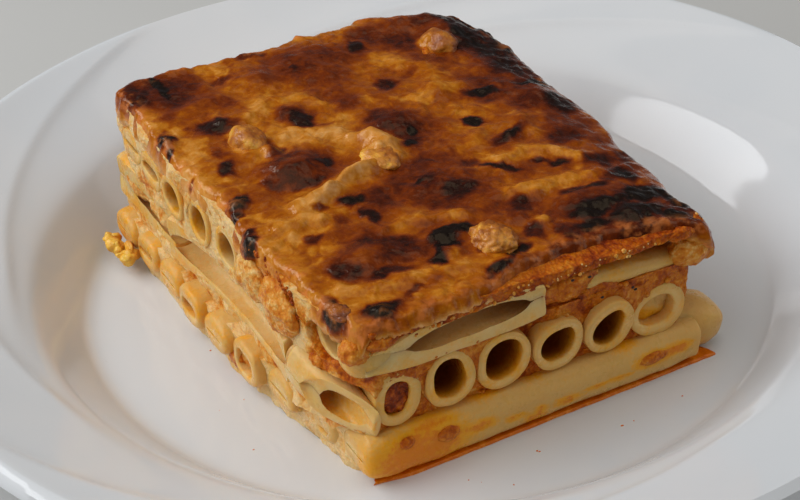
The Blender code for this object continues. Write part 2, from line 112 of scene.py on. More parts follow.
# Blisters of the crust: x, y, half width, half depth and height.
BLISTERS = [
    (38, 100, 15, 12, 1.0), (43, 65, 8, 7, 1.3), (13, 58, 10, 8, 1.9), (9, 21, 11, 8, 0.9),
    (63, 17, 12, 9, 0.9), (75, 100, 9, 12, 1.4), (66, 107, 13, 6, 1.0), (78, 61, 8, 8, 1.0),
    (40, 39, 12, 12, 0.8), (23, 79, 5, 7, 0.8), (67, 52, 4, 4, 0.7), (22, 98, 8, 9, 0.7),
    (67.3, 94.5, 3.2, 4.6, 1.9), (33.5, 57.5, 5.0, 7.5, 1.6), (20, 64, 9, 6, 0.9),
    (26, 49.5, 10, 3.2, 1.3), (14, 45, 9, 3.0, 1.0), (30, 20.5, 7, 4, 0.7), (4.7, 3.4, 4.5, 3, 0.7),
    (61, 47.5, 5, 3.5, 0.8), (9, 83, 6.5, 4, 0.7), (52.5, 26, 7, 4, 0.8), (57, 73, 5, 6, 0.6),
    (26, 14.5, 4, 3, 0.9), (48.5, 15.5, 4, 3, 0.8), (-3.5, 50.8, 3.2, 3.4, 0.8),
    (-6.5, 81, 2.6, 5, 0.7), (35.5, 5.5, 6, 3.2, 0.6), (66, 9, 9, 4, 0.6), (80, 66, 6, 4, 0.6),
    (11.5, 66, 3, 4, 1.2),
]
# Raised wrinkles: points of each crest, half width and height.
WRINKLES = [
    ([(7, 42.5), (13, 44.5), (20, 48), (27, 51.5), (32, 54.5)], 1.9, 1.5),
    ([(30, 62.5), (34, 60.5), (36, 56.5), (34.5, 52.5)], 2.4, 1.6),
    ([(8, 66), (13, 70), (20, 71.5), (28, 68)], 2.2, 0.8),
    ([(14, 83), (20, 87), (28, 86), (31, 80)], 2.0, 0.7),
    ([(48, 66), (52, 72), (58, 74), (64, 73)], 2.2, 0.8),
    ([(52, 48), (56, 52), (62, 52), (67, 47)], 1.8, 0.7),
    ([(54, 40), (60, 41), (66, 38), (70, 33)], 1.8, 0.8),
    ([(18, 27), (24, 29), (30, 27), (36, 25)], 1.8, 0.8),
    ([(46, 28), (54, 28), (62, 26), (70, 25)], 1.8, 0.8),
    ([(2, 13), (9, 11), (18, 10), (26, 9)], 1.6, 0.6),
    ([(56, 90), (60, 84), (60, 78)], 2.6, 0.8), ([(0, 38), (6, 40), (10, 37)], 2.0, 0.9),
]
# Scorched marks: x, y, half length, half width, turn in degrees, and how burnt from 0 to 1.
SCORCHES = [
    (2.4, 104.5, 6.0, 1.5, 86, 1.00), (2.5, 102, 11, 9.5, 0, 0.66), (-4.5, 104, 8, 3.0, 85, 0.72),
    (16, 102, 3.6, 2.2, 10, 0.62), (26.5, 109.8, 4.2, 1.7, -10, 0.68), (-1.5, 92, 2.6, 3.5, 0, 0.55),
    (25, 98, 6.0, 7.5, 30, 0.52), (37, 92, 11, 7.0, -20, 0.54), (45, 100, 8.0, 7.0, 20, 0.54),
    (31, 105, 7.0, 5.0, 0, 0.52), (12, 92.5, 4.5, 3.0, -35, 0.55), (33, 97, 1.2, 2.2, 0, 0.78),
    (51, 101.4, 2.6, 2.8, 0, 0.82), (56, 106, 5, 4, 0, 0.60), (36, 78.5, 4.2, 5.2, 0, 0.60),
    (48.5, 82, 4.4, 2.7, 12, 0.78), (62, 99, 6.5, 7.0, 0, 0.62), (71, 92, 4.0, 6.5, 0, 0.60),
    (80, 101, 8.0, 8.5, 0, 0.72), (79, 88, 8.5, 7.5, 0, 0.68), (80, 77, 7.5, 6.0, 0, 0.68),
    (72, 105, 7, 4, 0, 0.60), (86, 92, 3, 14, 0, 0.76), (76, 95.5, 3.2, 4.0, 0, 0.82),
    (65.6, 68.4, 4.6, 3.4, 0, 0.88), (80.5, 67.8, 6.0, 3.2, 8, 0.86), (81, 57.5, 5.5, 5.5, 0, 0.72),
    (73, 60, 5.0, 5.0, 0, 0.58), (57.3, 57.8, 2.9, 2.4, 0, 0.92), (62.6, 48.4, 4.4, 2.4, 12, 0.88),
    (59, 47, 3.0, 2.4, 0, 0.70), (72, 42, 6.5, 4.2, 20, 0.62), (64.5, 33.2, 3.6, 2.0, -20, 0.80),
    (61, 36.4, 2.6, 1.6, -35, 0.70), (52.6, 37.0, 5.8, 1.6, -38, 0.84), (47, 41.5, 3.2, 2.2, 0, 0.66),
    (73.5, 23, 5.5, 4.2, 0, 0.80), (73.5, 30.5, 3.5, 4.0, 0, 0.66), (81, 31, 4.0, 4.0, 0, 0.58),
    (61, 13.8, 8.0, 2.8, -4, 0.97), (57, 9.2, 4.6, 3.4, 0, 0.90), (72.5, 14.8, 6.5, 2.6, 6, 0.97),
    (80, 11.2, 4.4, 5.6, 20, 0.93), (67, 8.4, 8.5, 4.2, 0, 0.84), (66, 20.5, 4.0, 1.8, 0, 0.74),
    (60.5, 20.8, 4.6, 2.0, 0, 0.70), (74, 5.2, 3.0, 2.0, 0, 0.90), (82, 2.8, 3.0, 2.6, 0, 0.80),
    (43.6, 59.6, 2.0, 1.7, 0, 1.00), (41.5, 61.5, 6.6, 7.8, -10, 0.68), (39.6, 55.8, 3.6, 1.7, 28, 0.96),
    (40.5, 69.0, 5.0, 3.4, 0, 0.70), (41, 47.0, 8.0, 4.6, 12, 0.64), (34, 39.4, 3.0, 1.2, 0, 0.86),
    (40, 34.2, 5.4, 3.4, 0, 0.80), (36, 30, 4.2, 3.2, 0, 0.62), (24, 38.5, 4.2, 6.5, -15, 0.66),
    (18, 40.2, 3.3, 2.5, 0, 0.92), (19.2, 34.0, 1.8, 2.8, 0, 0.84), (13, 35.0, 3.4, 2.0, 20, 0.56),
    (5.0, 31.4, 2.4, 1.6, 0, 0.80), (11, 40.8, 1.8, 1.3, 0, 0.62), (10.5, 20.0, 10.2, 7.2, 12, 0.60),
    (4.5, 18.6, 3.6, 2.6, 0, 0.72), (13, 14.4, 6.0, 2.0, -8, 0.76), (17.0, 24.6, 3.4, 2.2, 30, 0.72),
    (30.2, 20.4, 6.6, 2.3, 10, 0.99), (24.2, 14.2, 3.6, 2.2, 50, 0.98), (27.2, 17.4, 3.6, 2.6, 40, 0.98),
    (32.0, 4.6, 4.2, 1.7, 12, 0.97), (38.2, 8.0, 3.8, 1.7, 42, 0.98), (4.9, 3.0, 4.4, 2.6, 0, 0.98),
    (13.6, 5.6, 4.6, 1.4, 24, 0.66), (-2.8, 8.4, 2.0, 4.4, 0, 0.92), (-7.6, 37.0, 1.7, 4.6, -38, 0.98),
    (-5.0, 41.0, 1.6, 1.4, 0, 0.84), (-2.6, 51.0, 3.0, 2.6, 0, 0.97), (-5.4, 48.2, 1.6, 1.8, 0, 0.94),
    (-6.4, 82.0, 1.9, 4.6, -14, 0.93), (-8.2, 77.0, 1.0, 1.9, 0, 0.95), (-7.8, 65.8, 0.8, 0.8, 0, 0.80),
    (5.4, 83.0, 6.4, 3.4, 4, 0.82), (0.6, 65.0, 2.8, 3.4, 0, 0.84), (1.8, 72.0, 2.4, 3.2, 0, 0.58),
    (24.2, 76.0, 3.2, 4.6, 16, 0.86), (21.5, 80, 3.0, 2.6, 0, 0.62), (13.2, 57.0, 9.6, 6.6, 8, 0.64),
    (19.6, 57.4, 3.4, 2.2, 0, 0.82), (14.0, 51.0, 6.0, 1.8, 0, 0.72), (5.8, 54.5, 2.4, 4.0, 20, 0.68),
    (12.0, 66.0, 2.6, 4.6, -10, 0.74), (48.6, 22.8, 4.4, 3.2, 0, 0.74), (44.6, 13.0, 3.4, 3.2, 0, 0.76),
    (51.5, 9, 3.0, 4.0, 0, 0.74), (47, 5.0, 4.0, 2.2, 0, 0.60), (64, 3.2, 8.0, 1.8, 0, 0.62),
    (56, 85, 3.0, 3.0, 0, 0.52), (61, 78, 3.0, 2.0, 0, 0.48), (28.5, 72, 2.0, 1.6, 0, 0.50),
    (33, 12, 2.0, 1.6, 0, 0.55), (20, 6.5, 1.8, 1.2, 0, 0.48), (45, 30.5, 2.4, 1.8, 0, 0.60),
]
# Broad places that turned red-brown: x, y, half length, half width, turn in degrees, how browned.
BROWN_PLACES = [
    (1, 103, 11, 11, 0, 0.60), (38, 99, 17, 12, 0, 0.56), (62, 102, 16, 9, 0, 0.52),
    (80, 92, 9, 20, 0, 0.66), (78, 70, 10, 11, 0, 0.58), (79, 57, 7, 7, 0, 0.55),
    (66, 66, 8, 6, 0, 0.48), (14, 57, 13, 9, 0, 0.62), (41, 62, 9, 12, 0, 0.63),
    (33, 42, 17, 8, 10, 0.57), (38, 34, 14, 7, 0, 0.56), (22, 36, 8, 8, 0, 0.48),
    (16, 22.5, 10, 8, 0, 0.70), (28, 18, 10, 7, 20, 0.52), (62, 14, 21, 8, 0, 0.56),
    (48, 20, 10, 7, 0, 0.46), (6, 82, 8, 5, 0, 0.46), (24, 78, 7, 6, 0, 0.46),
    (61, 47, 9, 6, 0, 0.46), (76, 27, 9, 9, 0, 0.46), (10, 93, 8, 7, 0, 0.42),
    (50, 84, 7, 6, 0, 0.42), (36, 80, 7, 7, 0, 0.44), (72, 43, 9, 6, 0, 0.44),
    (58, 33, 9, 6, -30, 0.42), (4, 70, 7, 7, 0, 0.42), (63, 88, 9, 7, -30, 0.48),
    (66, 74, 9, 5, 0, 0.48), (35, 85, 9, 4, 0, 0.46), (50, 62, 7, 8, 0, 0.42),
    (47, 54, 8, 5, -30, 0.44), (76, 48, 10, 6, 0, 0.50), (78, 38, 6, 7, 0, 0.50),
    (13, 31, 8, 5, 0, 0.48), (26, 26, 6, 5, 0, 0.44), (41, 27, 8, 8, 40, 0.50),
    (3, 50, 6, 4, 0, 0.45), (36, 4, 14, 4, 0, 0.46), (60, 4, 16, 5, 0, 0.52),
    (77, 6, 6, 8, 0, 0.60), (4, 2, 6, 5, 0, 0.44), (18, 6, 8, 4, 0, 0.42),
]
# Places that stayed pale: x, y, half length, half width, turn in degrees, and how pale.
PALE_PLACES = [
    (8.6, 73.6, 7.0, 2.6, 52, 1.0), (67.3, 94.6, 2.2, 3.8, -10, 0.95), (34, 57, 3.4, 6.8, -8, 0.85),
    (27.5, 50.6, 8.0, 2.2, 24, 0.7), (14.5, 45.0, 8.0, 1.8, 26, 0.6), (22, 65.5, 8.0, 5.0, -10, 0.55),
    (22.2, 26.0, 3.0, 2.2, 0, 0.6), (26.2, 14.0, 1.8, 2.4, 0, 0.7), (56, 26, 6.0, 2.2, -6, 0.55),
    (48.4, 15.2, 2.0, 1.8, 0, 0.8), (60.5, 74, 3.0, 5.0, 10, 0.45), (53.6, 93, 3.4, 4.0, 0, 0.5),
    (66, 45, 3.0, 2.0, 0, 0.4), (64.5, 26.5, 3.0, 2.0, 0, 0.4), (4, 36, 4.5, 4.0, 0, 0.4),
    (17, 73, 3.4, 3.0, 0, 0.35), (8, 8.5, 5.0, 2.6, 0, 0.35), (21, 3.6, 6.0, 2.2, 0, 0.45),
    (-4.4, 84.6, 1.6, 1.8, 0, 0.9), (-5.2, 3.0, 2.2, 3.4, 0, 0.7), (76, 36, 4, 4, 0, 0.25),
    (44, 48.5, 2.6, 1.6, 0, 0.3), (10.5, 21.0, 3.6, 2.2, 20, 0.40), (13.0, 58.0, 3.0, 1.6, 10, 0.25),
    (57, 64, 5, 3, 0, 0.3), (-3, 70, 3, 8, 0, 0.3),
    (-3, 28, 3, 9, 0, 0.45), (-7.0, 62, 3.0, 14, 0, 0.5), (-5.6, 22, 2.6, 12, 0, 0.4),
]
# Lumps of browned cheese: x, y, three half sizes, how browned, and how far the grains stand out.
LUMPS = [
    (36.3, 14.4, 5.2, 5.6, 3.3, 0.30, 0.85), (8.9, 72.6, 4.0, 6.0, 3.8, 0.26, 0.35),
    (70.0, 93.4, 4.0, 5.4, 3.0, 0.38, 0.22), (30.8, 52.8, 4.4, 5.4, 2.2, 0.22, 0.50),
    (-1.8, 7.6, 2.2, 3.0, 1.2, 0.50, 0.50),
]
# Dark flakes of herbs on the front: x, y, z.
HERBS = [(46.0, -0.2, 33.6), (50.2, -0.1, 32.8), (60.8, -0.4, 26.4), (61.4, -0.5, 25.8),
         (53.2, -0.4, 26.8)]
HERB_HALF = (0.42, 0.22, 0.28)         # half sizes of a flake


# ---------------------------------------------------------------- fields over the slice

MARK_POWER = 5                 # ovals that overlap add up by their powers, so the strongest one leads
PATCH_POWER = 9                # the same for the golden, browned and burnt parts of the crust


def between(points, at):
    """Straight interpolation along a list of (position, value) pairs."""
    places, values = zip(*points)
    return np.interp(at, places, values)


def fade(value, start, end):
    """Smooth step from 0 at start to 1 at end."""
    part = np.clip((value - start) / (end - start), 0.0, 1.0)
    return part * part * (3.0 - 2.0 * part)


def rumple(points, size, octaves=2, shift=0.0):
    """Fractal noise at each point, about -1 to 1, whose widest waves measure size."""
    moved = np.asarray(points, float) / size + shift
    return np.array([noise.fractal(point, 1.0, 2.0, octaves) for point in moved.tolist()])


def pebbles(points, size, shift=0.0):
    """Rounded grains at each point: 1 at the middle of a grain and 0 between grains."""
    moved = np.asarray(points, float) / size + shift
    near = np.array([noise.voronoi(point)[0][:2] for point in moved.tolist()])
    return np.clip(1.0 - near[:, 0] / (near[:, 0] * 0.5 + near[:, 1] * 0.5 + 1e-6), 0.0, 1.0) ** 0.5


def flat(x, y):
    """Points on the level ground under x and y."""
    return np.stack([x, y, np.zeros_like(x)], axis=-1)


def level(height):
    """A surface, or a front edge, that keeps one height or depth."""
    return lambda x, *_: np.full(np.shape(x), height)


def marks(x, y, places, soft=0.5):
    """How strongly turned ovals cover each point, from 0 to their own strength; soft widens edges."""
    total = np.zeros_like(x)
    for at_x, at_y, long, wide, turn, strength in places:
        angle = math.radians(turn)
        dx, dy = x - at_x, y - at_y
        along = dx * math.cos(angle) + dy * math.sin(angle)
        aside = dy * math.cos(angle) - dx * math.sin(angle)
        far = np.sqrt((along / long) ** 2 + (aside / wide) ** 2)
        total += (strength * (1.0 - fade(far, 1.0 - soft, 1.0 + soft))) ** MARK_POWER
    return total ** (1.0 / MARK_POWER)


def crests(x, y):
    """Height of the raised wrinkles at each point."""
    total = np.zeros_like(x)
    for line, half, tall in WRINKLES:
        near = np.full(x.shape, 1e9)
        for (x0, y0), (x1, y1) in zip(line, line[1:]):
            length = math.hypot(x1 - x0, y1 - y0)
            run_x, run_y = x1 - x0, y1 - y0
            share = np.clip(((x - x0) * run_x + (y - y0) * run_y) / length ** 2, 0.0, 1.0)
            near = np.minimum(near, np.hypot(x - x0 - share * run_x, y - y0 - share * run_y))
        total = np.maximum(total, tall * np.exp(-(near / half) ** 2))
    return total


def heat_and_shade_of(x, y):
    """How browned the crust is at each point: 0 is cream, 0.3 golden and 1 burnt black; towards the right,
    painted shade is added.
    """
    ground = flat(x, y)
    drift_x = 1.7 * rumple(ground, 7.0, 2, 3.1) + 0.8 * rumple(ground, 2.4, 3, 9.4)
    drift_y = 1.7 * rumple(ground, 7.0, 2, 21.7) + 0.8 * rumple(ground, 2.4, 3, 33.2)
    burnt = marks(x + drift_x, y + drift_y, SCORCHES, 0.60)
    browned = marks(x + 1.4 * drift_x, y + 1.4 * drift_y, BROWN_PLACES, 0.75)
    pale = marks(x + 0.6 * drift_x, y + 0.6 * drift_y, PALE_PLACES, 0.5)
    golden = 0.325 + 0.12 * rumple(ground, 10.0, 3, 5.5) + 0.06 * rumple(ground, 2.6, 2, 8.8)
    golden = golden * (1.0 - 0.36 * fade(rumple(ground, 5.0, 2, 61.0), 0.06, 0.30))
    browned = browned * (1.03 + 0.24 * rumple(ground, 5.0, 3, 15.5))
    parts = (np.clip(golden, 0.04, 1.0), browned, burnt)
    heat_and_shade = sum(part ** PATCH_POWER for part in parts) ** (1.0 / PATCH_POWER)
    # Painted shade: browner towards the right, where less light falls on the crust.
    heat_and_shade = heat_and_shade + 0.10 * fade(x, 40.0, 84.0)
    heat_and_shade = heat_and_shade * (1.0 - 0.30 * np.clip(crests(x + 0.5 * drift_x, y + 0.5 * drift_y), 0.0, 1.2))
    return heat_and_shade * (1.0 - 0.62 * pale)


def crust_height(x, y):
    """Height of the crust's top face over the plate's floor, without its small ripples."""
    front_left, front_right, back_left, back_right = CRUST_CORNERS
    across = np.clip(x / WIDTH, 0.0, 1.0)
    back = np.clip(y / DEPTH, 0.0, 1.0)
    front = front_left + (front_right - front_left) * across
    rear = back_left + (back_right - back_left) * across
    height = front + (rear - front) * back
    fall = np.clip((x - DROOP_START) / DROOP_RUN, 0.0, 1.3)
    height = height - DROOP * fall * fall * (1.0 - 0.55 * back)
    for at_x, at_y, half_x, half_y, tall in BLISTERS:
        far = np.clip(((x - at_x) / half_x) ** 2 + ((y - at_y) / half_y) ** 2, 0.0, 1.0)
        height = height + BLISTER_RISE * tall * (1.0 - far) ** 2
    return height


# ---------------------------------------------------------------- meshes

def mesh_of(name, points, faces, paint=None):
    """A mesh from the slice's own millimetres, with the values painted on its points."""
    mesh = bpy.data.meshes.new(name)
    mesh.from_pydata((np.asarray(points, float) * MM + CORNER).tolist(), [], faces)
    for label, values in (paint or {}).items():
        layer = mesh.attributes.new(label, "FLOAT", "POINT")
        layer.data.foreach_set("value", np.asarray(values, np.float32))
    return mesh


def new_piece(name, mesh, finish, replaced=(), sharp=60):
    """Makes a closed mesh a piece that rides on the one body and stands for its CAD nodes."""
    mesh.name = name
    mesh.update()
    mesh.shade_smooth()
    mesh.set_sharp_from_angle(angle=math.radians(sharp))
    mesh.materials.append(finish)
    piece = bpy.data.objects.new(name, mesh)
    bpy.context.scene.collection.objects.link(piece)
    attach(piece, BODY)
    if replaced:
        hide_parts(*replaced)


def grid_faces(rows, columns, closed_rows=False, closed_columns=False):
    """Quads of a grid of points that are numbered row by row."""
    row, column = np.meshgrid(np.arange(rows if closed_rows else rows - 1),
                              np.arange(columns if closed_columns else columns - 1), indexing="ij")
    row, column = row.ravel() * columns, column.ravel()
    next_row, next_column = (row + columns) % (rows * columns), (column + 1) % columns
    return np.stack([row + column, row + next_column, next_row + next_column, next_row + column], 1)


def ball(subdivisions):
    """Points and faces of an icosphere of radius 1, to be stretched and roughened."""
    bm = bmesh.new()
    bmesh.ops.create_icosphere(bm, subdivisions=subdivisions, radius=1.0)
    points = np.array([vert.co for vert in bm.verts])
    faces = np.array([[vert.index for vert in face.verts] for face in bm.faces])
    bm.free()
    return points, faces


def signed_volume(points, faces):
    """Six times the volume inside closed faces, below zero if they face inwards."""
    total = 0.0
    for face in faces:
        corners = points[np.asarray(face)]
        first = corners[..., 0, :]
        for k in range(1, corners.shape[-2] - 1):
            total += (first * np.cross(corners[..., k, :], corners[..., k + 1, :])).sum()
    return total


class Heap:
    """Collects closed shells, and the values painted on them, to join into one piece."""

    def __init__(self):
        self.points, self.faces, self.paint = [], [], {}
        self.count = 0

    def add(self, points, quads, caps=(), **paint):
        """Adds a shell of quads, and of caps with more corners, and turns it to face outwards."""
        points = np.asarray(points, float)
        middle = points - points.mean(axis=0)
        outward = 1 if signed_volume(middle, [quads, *caps]) > 0 else -1
        self.faces += (quads[:, ::outward] + self.count).tolist()
        self.faces += [[int(corner) + self.count for corner in cap[::outward]] for cap in caps]
        self.points.append(points)
        for label, values in paint.items():
            self.paint.setdefault(label, []).append(np.broadcast_to(values, len(points)))
        self.count += len(points)

    def piece(self, name, finish, slot, replaced, sharp=60):
        painted = {label: np.concatenate(values) for label, values in self.paint.items()}
        mesh = mesh_of(name, np.concatenate(self.points), self.faces, painted)
        new_piece(name, mesh, finish, replaced, sharp)


# ---------------------------------------------------------------- finishes

def linear(colour):
    """Scene-linear value of an 8-bit display colour."""
    parts = [value / 255.0 for value in colour]
    return tuple(v / 12.92 if v <= 0.04045 else ((v + 0.055) / 1.055) ** 2.4 for v in parts)


class Finish:
    """A Principled material, put together from procedural textures in the object's frame."""

    def __init__(self, name, **constants):
        self.material = bpy.data.materials.new(name)
        self.material.use_nodes = True
        self.nodes = self.material.node_tree.nodes
        self.links = self.material.node_tree.links
        self.shader = self.nodes["Principled BSDF"]
        for label, value in constants.items():
            self.shader.inputs[label.replace("_", " ")].default_value = value
        self.place = self.nodes.new("ShaderNodeTexCoord").outputs["Object"]

    def put(self, socket, value):
        if isinstance(value, bpy.types.NodeSocket):
            self.links.new(value, socket)
        else:
            socket.default_value = value

    def noise(self, size_mm, detail=3.0, rough=0.55, warp=0.0):
        node = self.nodes.new("ShaderNodeTexNoise")
        node.inputs["Scale"].default_value = 1.0 / (size_mm * MM)
        node.inputs["Detail"].default_value = detail
        node.inputs["Roughness"].default_value = rough
        node.inputs["Distortion"].default_value = warp
        self.links.new(self.place, node.inputs["Vector"])
        return node.outputs["Fac"]

    def grains(self, size_mm):
        node = self.nodes.new("ShaderNodeTexVoronoi")
        node.inputs["Scale"].default_value = 1.0 / (size_mm * MM)
        self.links.new(self.place, node.inputs["Vector"])
        return node.outputs["Distance"]

    def painted(self, label):
        """The values painted on the mesh's points under a label."""
        node = self.nodes.new("ShaderNodeAttribute")
        node.attribute_name = label
        return node.outputs["Fac"]

    def scaled(self, value, factor, plus=0.0):
        """A value times a factor, plus another value."""
        node = self.nodes.new("ShaderNodeMath")
        node.operation = "MULTIPLY_ADD"
        for socket, number in zip(node.inputs, (value, factor, plus)):
            self.put(socket, number)
        return node.outputs[0]

    def unsettled(self, value, noise, amount):
        """A value that a noise from 0 to 1 moves up and down."""
        return self.scaled(self.scaled(noise, 1.0, -0.5), amount, value)

    def spread(self, value, low, high, to_low=0.0, to_high=1.0):
        node = self.nodes.new("ShaderNodeMapRange")
        node.interpolation_type = "SMOOTHSTEP"
        numbers = {"From Min": low, "From Max": high, "To Min": to_low, "To Max": to_high}
        for label, number in numbers.items():
            node.inputs[label].default_value = number
        self.links.new(value, node.inputs["Value"])
        return node.outputs[0]

    def ramp(self, value, stops):
        node = self.nodes.new("ShaderNodeValToRGB")
        ramp = node.color_ramp
        while len(ramp.elements) < len(stops):
            ramp.elements.new(0.5)
        for element, (at, colour) in zip(ramp.elements, stops):
            element.position = at
            element.color = (*linear(colour), 1.0)
        self.links.new(value, node.inputs["Fac"])
        return node.outputs["Color"]

    def mix(self, part, first, second):
        node = self.nodes.new("ShaderNodeMix")
        node.data_type = "RGBA"
        self.put(node.inputs[0], part)
        for socket, colour in ((node.inputs[6], first), (node.inputs[7], second)):
            self.put(socket, colour if isinstance(colour, bpy.types.NodeSocket) else (*colour, 1.0))
        return node.outputs[2]

    def bump(self, height, depth_mm, under=None):
        node = self.nodes.new("ShaderNodeBump")
        node.inputs["Distance"].default_value = depth_mm * MM
        self.links.new(height, node.inputs["Height"])
        if under is not None:
            self.links.new(under, node.inputs["Normal"])
        return node.outputs["Normal"]

    def finish(self, colour=None, roughness=None, normal=None):
        for label, value in (("Base Color", colour), ("Roughness", roughness), ("Normal", normal)):
            if value is not None:
                self.links.new(value, self.shader.inputs[label])
        return self.material


OILY_GLINT = (1.0, 0.82, 0.58, 1.0)      # warm tint of the light that oily food throws back


def glazed_porcelain(look):
    """White glaze, with the faint unevenness of a fired surface."""
    kit = Finish("glazed_porcelain", IOR=1.42)
    cloudy = kit.noise(38.0, 2.0)
    clouded = kit.spread(cloudy, 0.3, 0.7, 0.0, 0.5)
    colour = kit.mix(clouded, tuple(look.glaze), tuple(look.glaze_shade))
    speck = kit.spread(kit.noise(0.9, 2.0), 0.71, 0.78, 0.0, 0.10)
    colour = kit.mix(speck, colour, linear((176, 168, 152)))
    roughness = kit.spread(kit.noise(16.0, 3.0), 0.2, 0.8, look.gloss * 0.7, look.gloss * 1.3)
    normal = kit.bump(kit.noise(9.0, 1.0), 0.035)
    return kit.finish(colour, roughness, normal)


def boiled_pasta(look):
    """Cream coloured, slightly see-through pasta, stained by sauce where it is painted, with painted shade
    in its hollows.
    """
    kit = Finish("boiled_pasta", Subsurface_Weight=0.30, Subsurface_Scale=0.0030, IOR=1.42,
                 Subsurface_Radius=(1.0, 0.55, 0.20), Specular_Tint=OILY_GLINT)
    cloudy = kit.noise(7.0, 4.0)
    colour = kit.mix(kit.spread(cloudy, 0.3, 0.72), tuple(look.pasta), tuple(look.pasta_shade))
    skin = kit.spread(kit.painted("skin"), 0.35, 0.95, 0.0, 0.85)
    colour = kit.mix(skin, colour, tuple(look.skin))
    fine = kit.noise(0.8, 4.0, 0.7)
    stain = kit.scaled(fine, 0.9, kit.painted("stain"))
    wash = kit.spread(stain, 0.50, 1.15)
    colour = kit.mix(kit.scaled(wash, 0.95), colour, tuple(look.stain))
    spots = kit.spread(stain, 1.12, 1.40)
    colour = kit.mix(kit.scaled(spots, 0.8), colour, tuple(look.crumb))
    # Painted shade: the deep colour darkens the tubes' hollows.
    colour = kit.mix(kit.scaled(kit.painted("deep"), 0.92), colour, tuple(look.deep))
    gloss = look.pasta_gloss
    roughness = kit.spread(kit.noise(2.5, 3.0), 0.25, 0.75, gloss * 0.75, gloss * 1.3)
    normal = kit.bump(fine, 0.10)
    normal = kit.bump(kit.noise(3.2, 2.0), 0.25, normal)
    return kit.finish(colour, roughness, normal)


def meat_sauce():
    """Fine crumbs of meat bound with orange oil, bechamel and cheese."""
    kit = Finish("meat_sauce", Subsurface_Weight=0.15, Subsurface_Scale=0.002, IOR=1.42,
                 Subsurface_Radius=(1.0, 0.4, 0.15), Specular_Tint=OILY_GLINT, Specular_IOR_Level=0.32)
    grain = kit.grains(1.3)
    small = kit.grains(0.6)
    blotch = kit.noise(3.6, 5.0, 0.62, 0.8)
    value = 0.05
    # The deep value holds redder meat, and painted shade in hollows of the front face.
    for part, weight in ((blotch, 0.78), (grain, 0.20), (small, 0.16),
                         (kit.painted("cream"), -0.50), (kit.painted("deep"), 0.42)):
        value = kit.scaled(part, weight, value)
    colour = kit.ramp(value, [
        (0.10, (240, 202, 140)), (0.26, (236, 182, 102)), (0.40, (222, 142, 46)), (0.54, (202, 108, 16)),
        (0.68, (170, 74, 6)), (0.80, (128, 42, 5)), (0.90, (92, 22, 4)), (1.0, (50, 8, 3))])
    roughness = kit.spread(blotch, 0.3, 0.7, 0.18, 0.42)
    normal = kit.bump(kit.scaled(small, 0.5, grain), -0.28)
    normal = kit.bump(kit.noise(0.35, 2.0), 0.08, normal)
    return kit.finish(colour, roughness, normal)


def orange_oil():
    """Oil and tomato that ran out under the slice."""
    kit = Finish("orange_oil", IOR=1.47, Subsurface_Weight=0.1, Subsurface_Scale=0.001)
    cloudy = kit.noise(2.4, 4.0, 0.65)
    colour = kit.ramp(cloudy, [(0.3, (204, 98, 3)), (0.5, (226, 116, 4)), (0.68, (240, 146, 20))])
    roughness = kit.spread(cloudy, 0.3, 0.7, 0.10, 0.32)
    normal = kit.bump(kit.noise(1.1, 3.0), 0.05)
    return kit.finish(colour, roughness, normal)


def browned_crust(look):
    """Bechamel and cheese from cream over gold and red-brown to burnt black."""
    kit = Finish("browned_crust", Subsurface_Weight=0.05, Subsurface_Scale=0.0012, IOR=1.42,
                 Subsurface_Radius=(1.0, 0.4, 0.1), Specular_Tint=OILY_GLINT, Specular_IOR_Level=0.42)
    fine = kit.noise(0.9, 3.0, 0.6)
    wide = kit.noise(3.4, 4.0, 0.55, 1.2)
    # The painted browning value also holds painted shade towards the right.
    heat_and_shade = kit.unsettled(kit.painted("browning"), fine, 0.12)
    heat_and_shade = kit.unsettled(heat_and_shade, wide, 0.38)
    colour = kit.ramp(heat_and_shade, [
        (0.00, (232, 178, 112)), (0.12, (216, 146, 64)), (0.22, (196, 120, 26)), (0.32, (170, 90, 4)),
        (0.42, (146, 67, 1)), (0.54, (117, 45, 3)), (0.68, (78, 24, 4)), (0.80, (40, 10, 5)),
        (0.92, (19, 7, 4))])
    oily = kit.scaled(kit.spread(kit.noise(3.4, 4.0), 0.46, 0.66), kit.painted("side"))
    colour = kit.mix(kit.scaled(oily, 0.62), colour, linear((226, 132, 66)))
    rough = kit.spread(kit.painted("browning"), 0.25, 1.0, look.crust_gloss, look.crust_gloss * 1.5)
    rough = kit.scaled(kit.spread(kit.noise(1.3, 3.0), 0.3, 0.7, -0.06, 0.12), 1.0, rough)
    normal = kit.bump(fine, 0.05)
    normal = kit.bump(kit.noise(2.2, 2.0, 0.5), 0.30, normal)
    return kit.finish(colour, rough, normal)


def browned_cheese():
    """Crumbly lumps: tan, with brown tips and pale breaks."""
    kit = Finish("browned_cheese", Subsurface_Weight=0.15, Subsurface_Scale=0.0016, IOR=1.46,
                 Subsurface_Radius=(1.0, 0.5, 0.2))
    fine = kit.noise(0.9, 4.0, 0.7)
    # The painted browning value holds painted shade on each lump's right side.
    heat_and_shade = kit.unsettled(kit.painted("browning"), fine, 0.3)
    colour = kit.ramp(heat_and_shade, [
        (0.0, (252, 198, 76)), (0.2, (218, 144, 48)), (0.4, (172, 96, 22)), (0.6, (124, 58, 14)),
        (0.8, (72, 30, 12)), (1.0, (22, 12, 6))])
    roughness = kit.spread(fine, 0.3, 0.7, 0.24, 0.48)
    normal = kit.bump(kit.grains(0.9), -0.12)
    normal = kit.bump(fine, 0.10, normal)
    return kit.finish(colour, roughness, normal)


# ---------------------------------------------------------------- plate

LIP = 90.0                     # radius of the edge between the well and the rim
FOOT = 68.0                    # radius of the foot's outside
EDGE = 2.4                     # radius of the rim's rounded edge
ARMS = 4                       # of the pinwheel on the rim, with two ridges each
ARM_STARTS = (94.0, 124.0)     # degrees at which the two ridges of the first arm leave the edge
ARM_SWEEP = 88.0
RIDGE_REACH = 31.0             # from the lip to where a ridge leaves the edge
RIDGE_POWER = 1.55
RIDGE_SHARP = 1.5
RIDGE_SOFT = 6.0


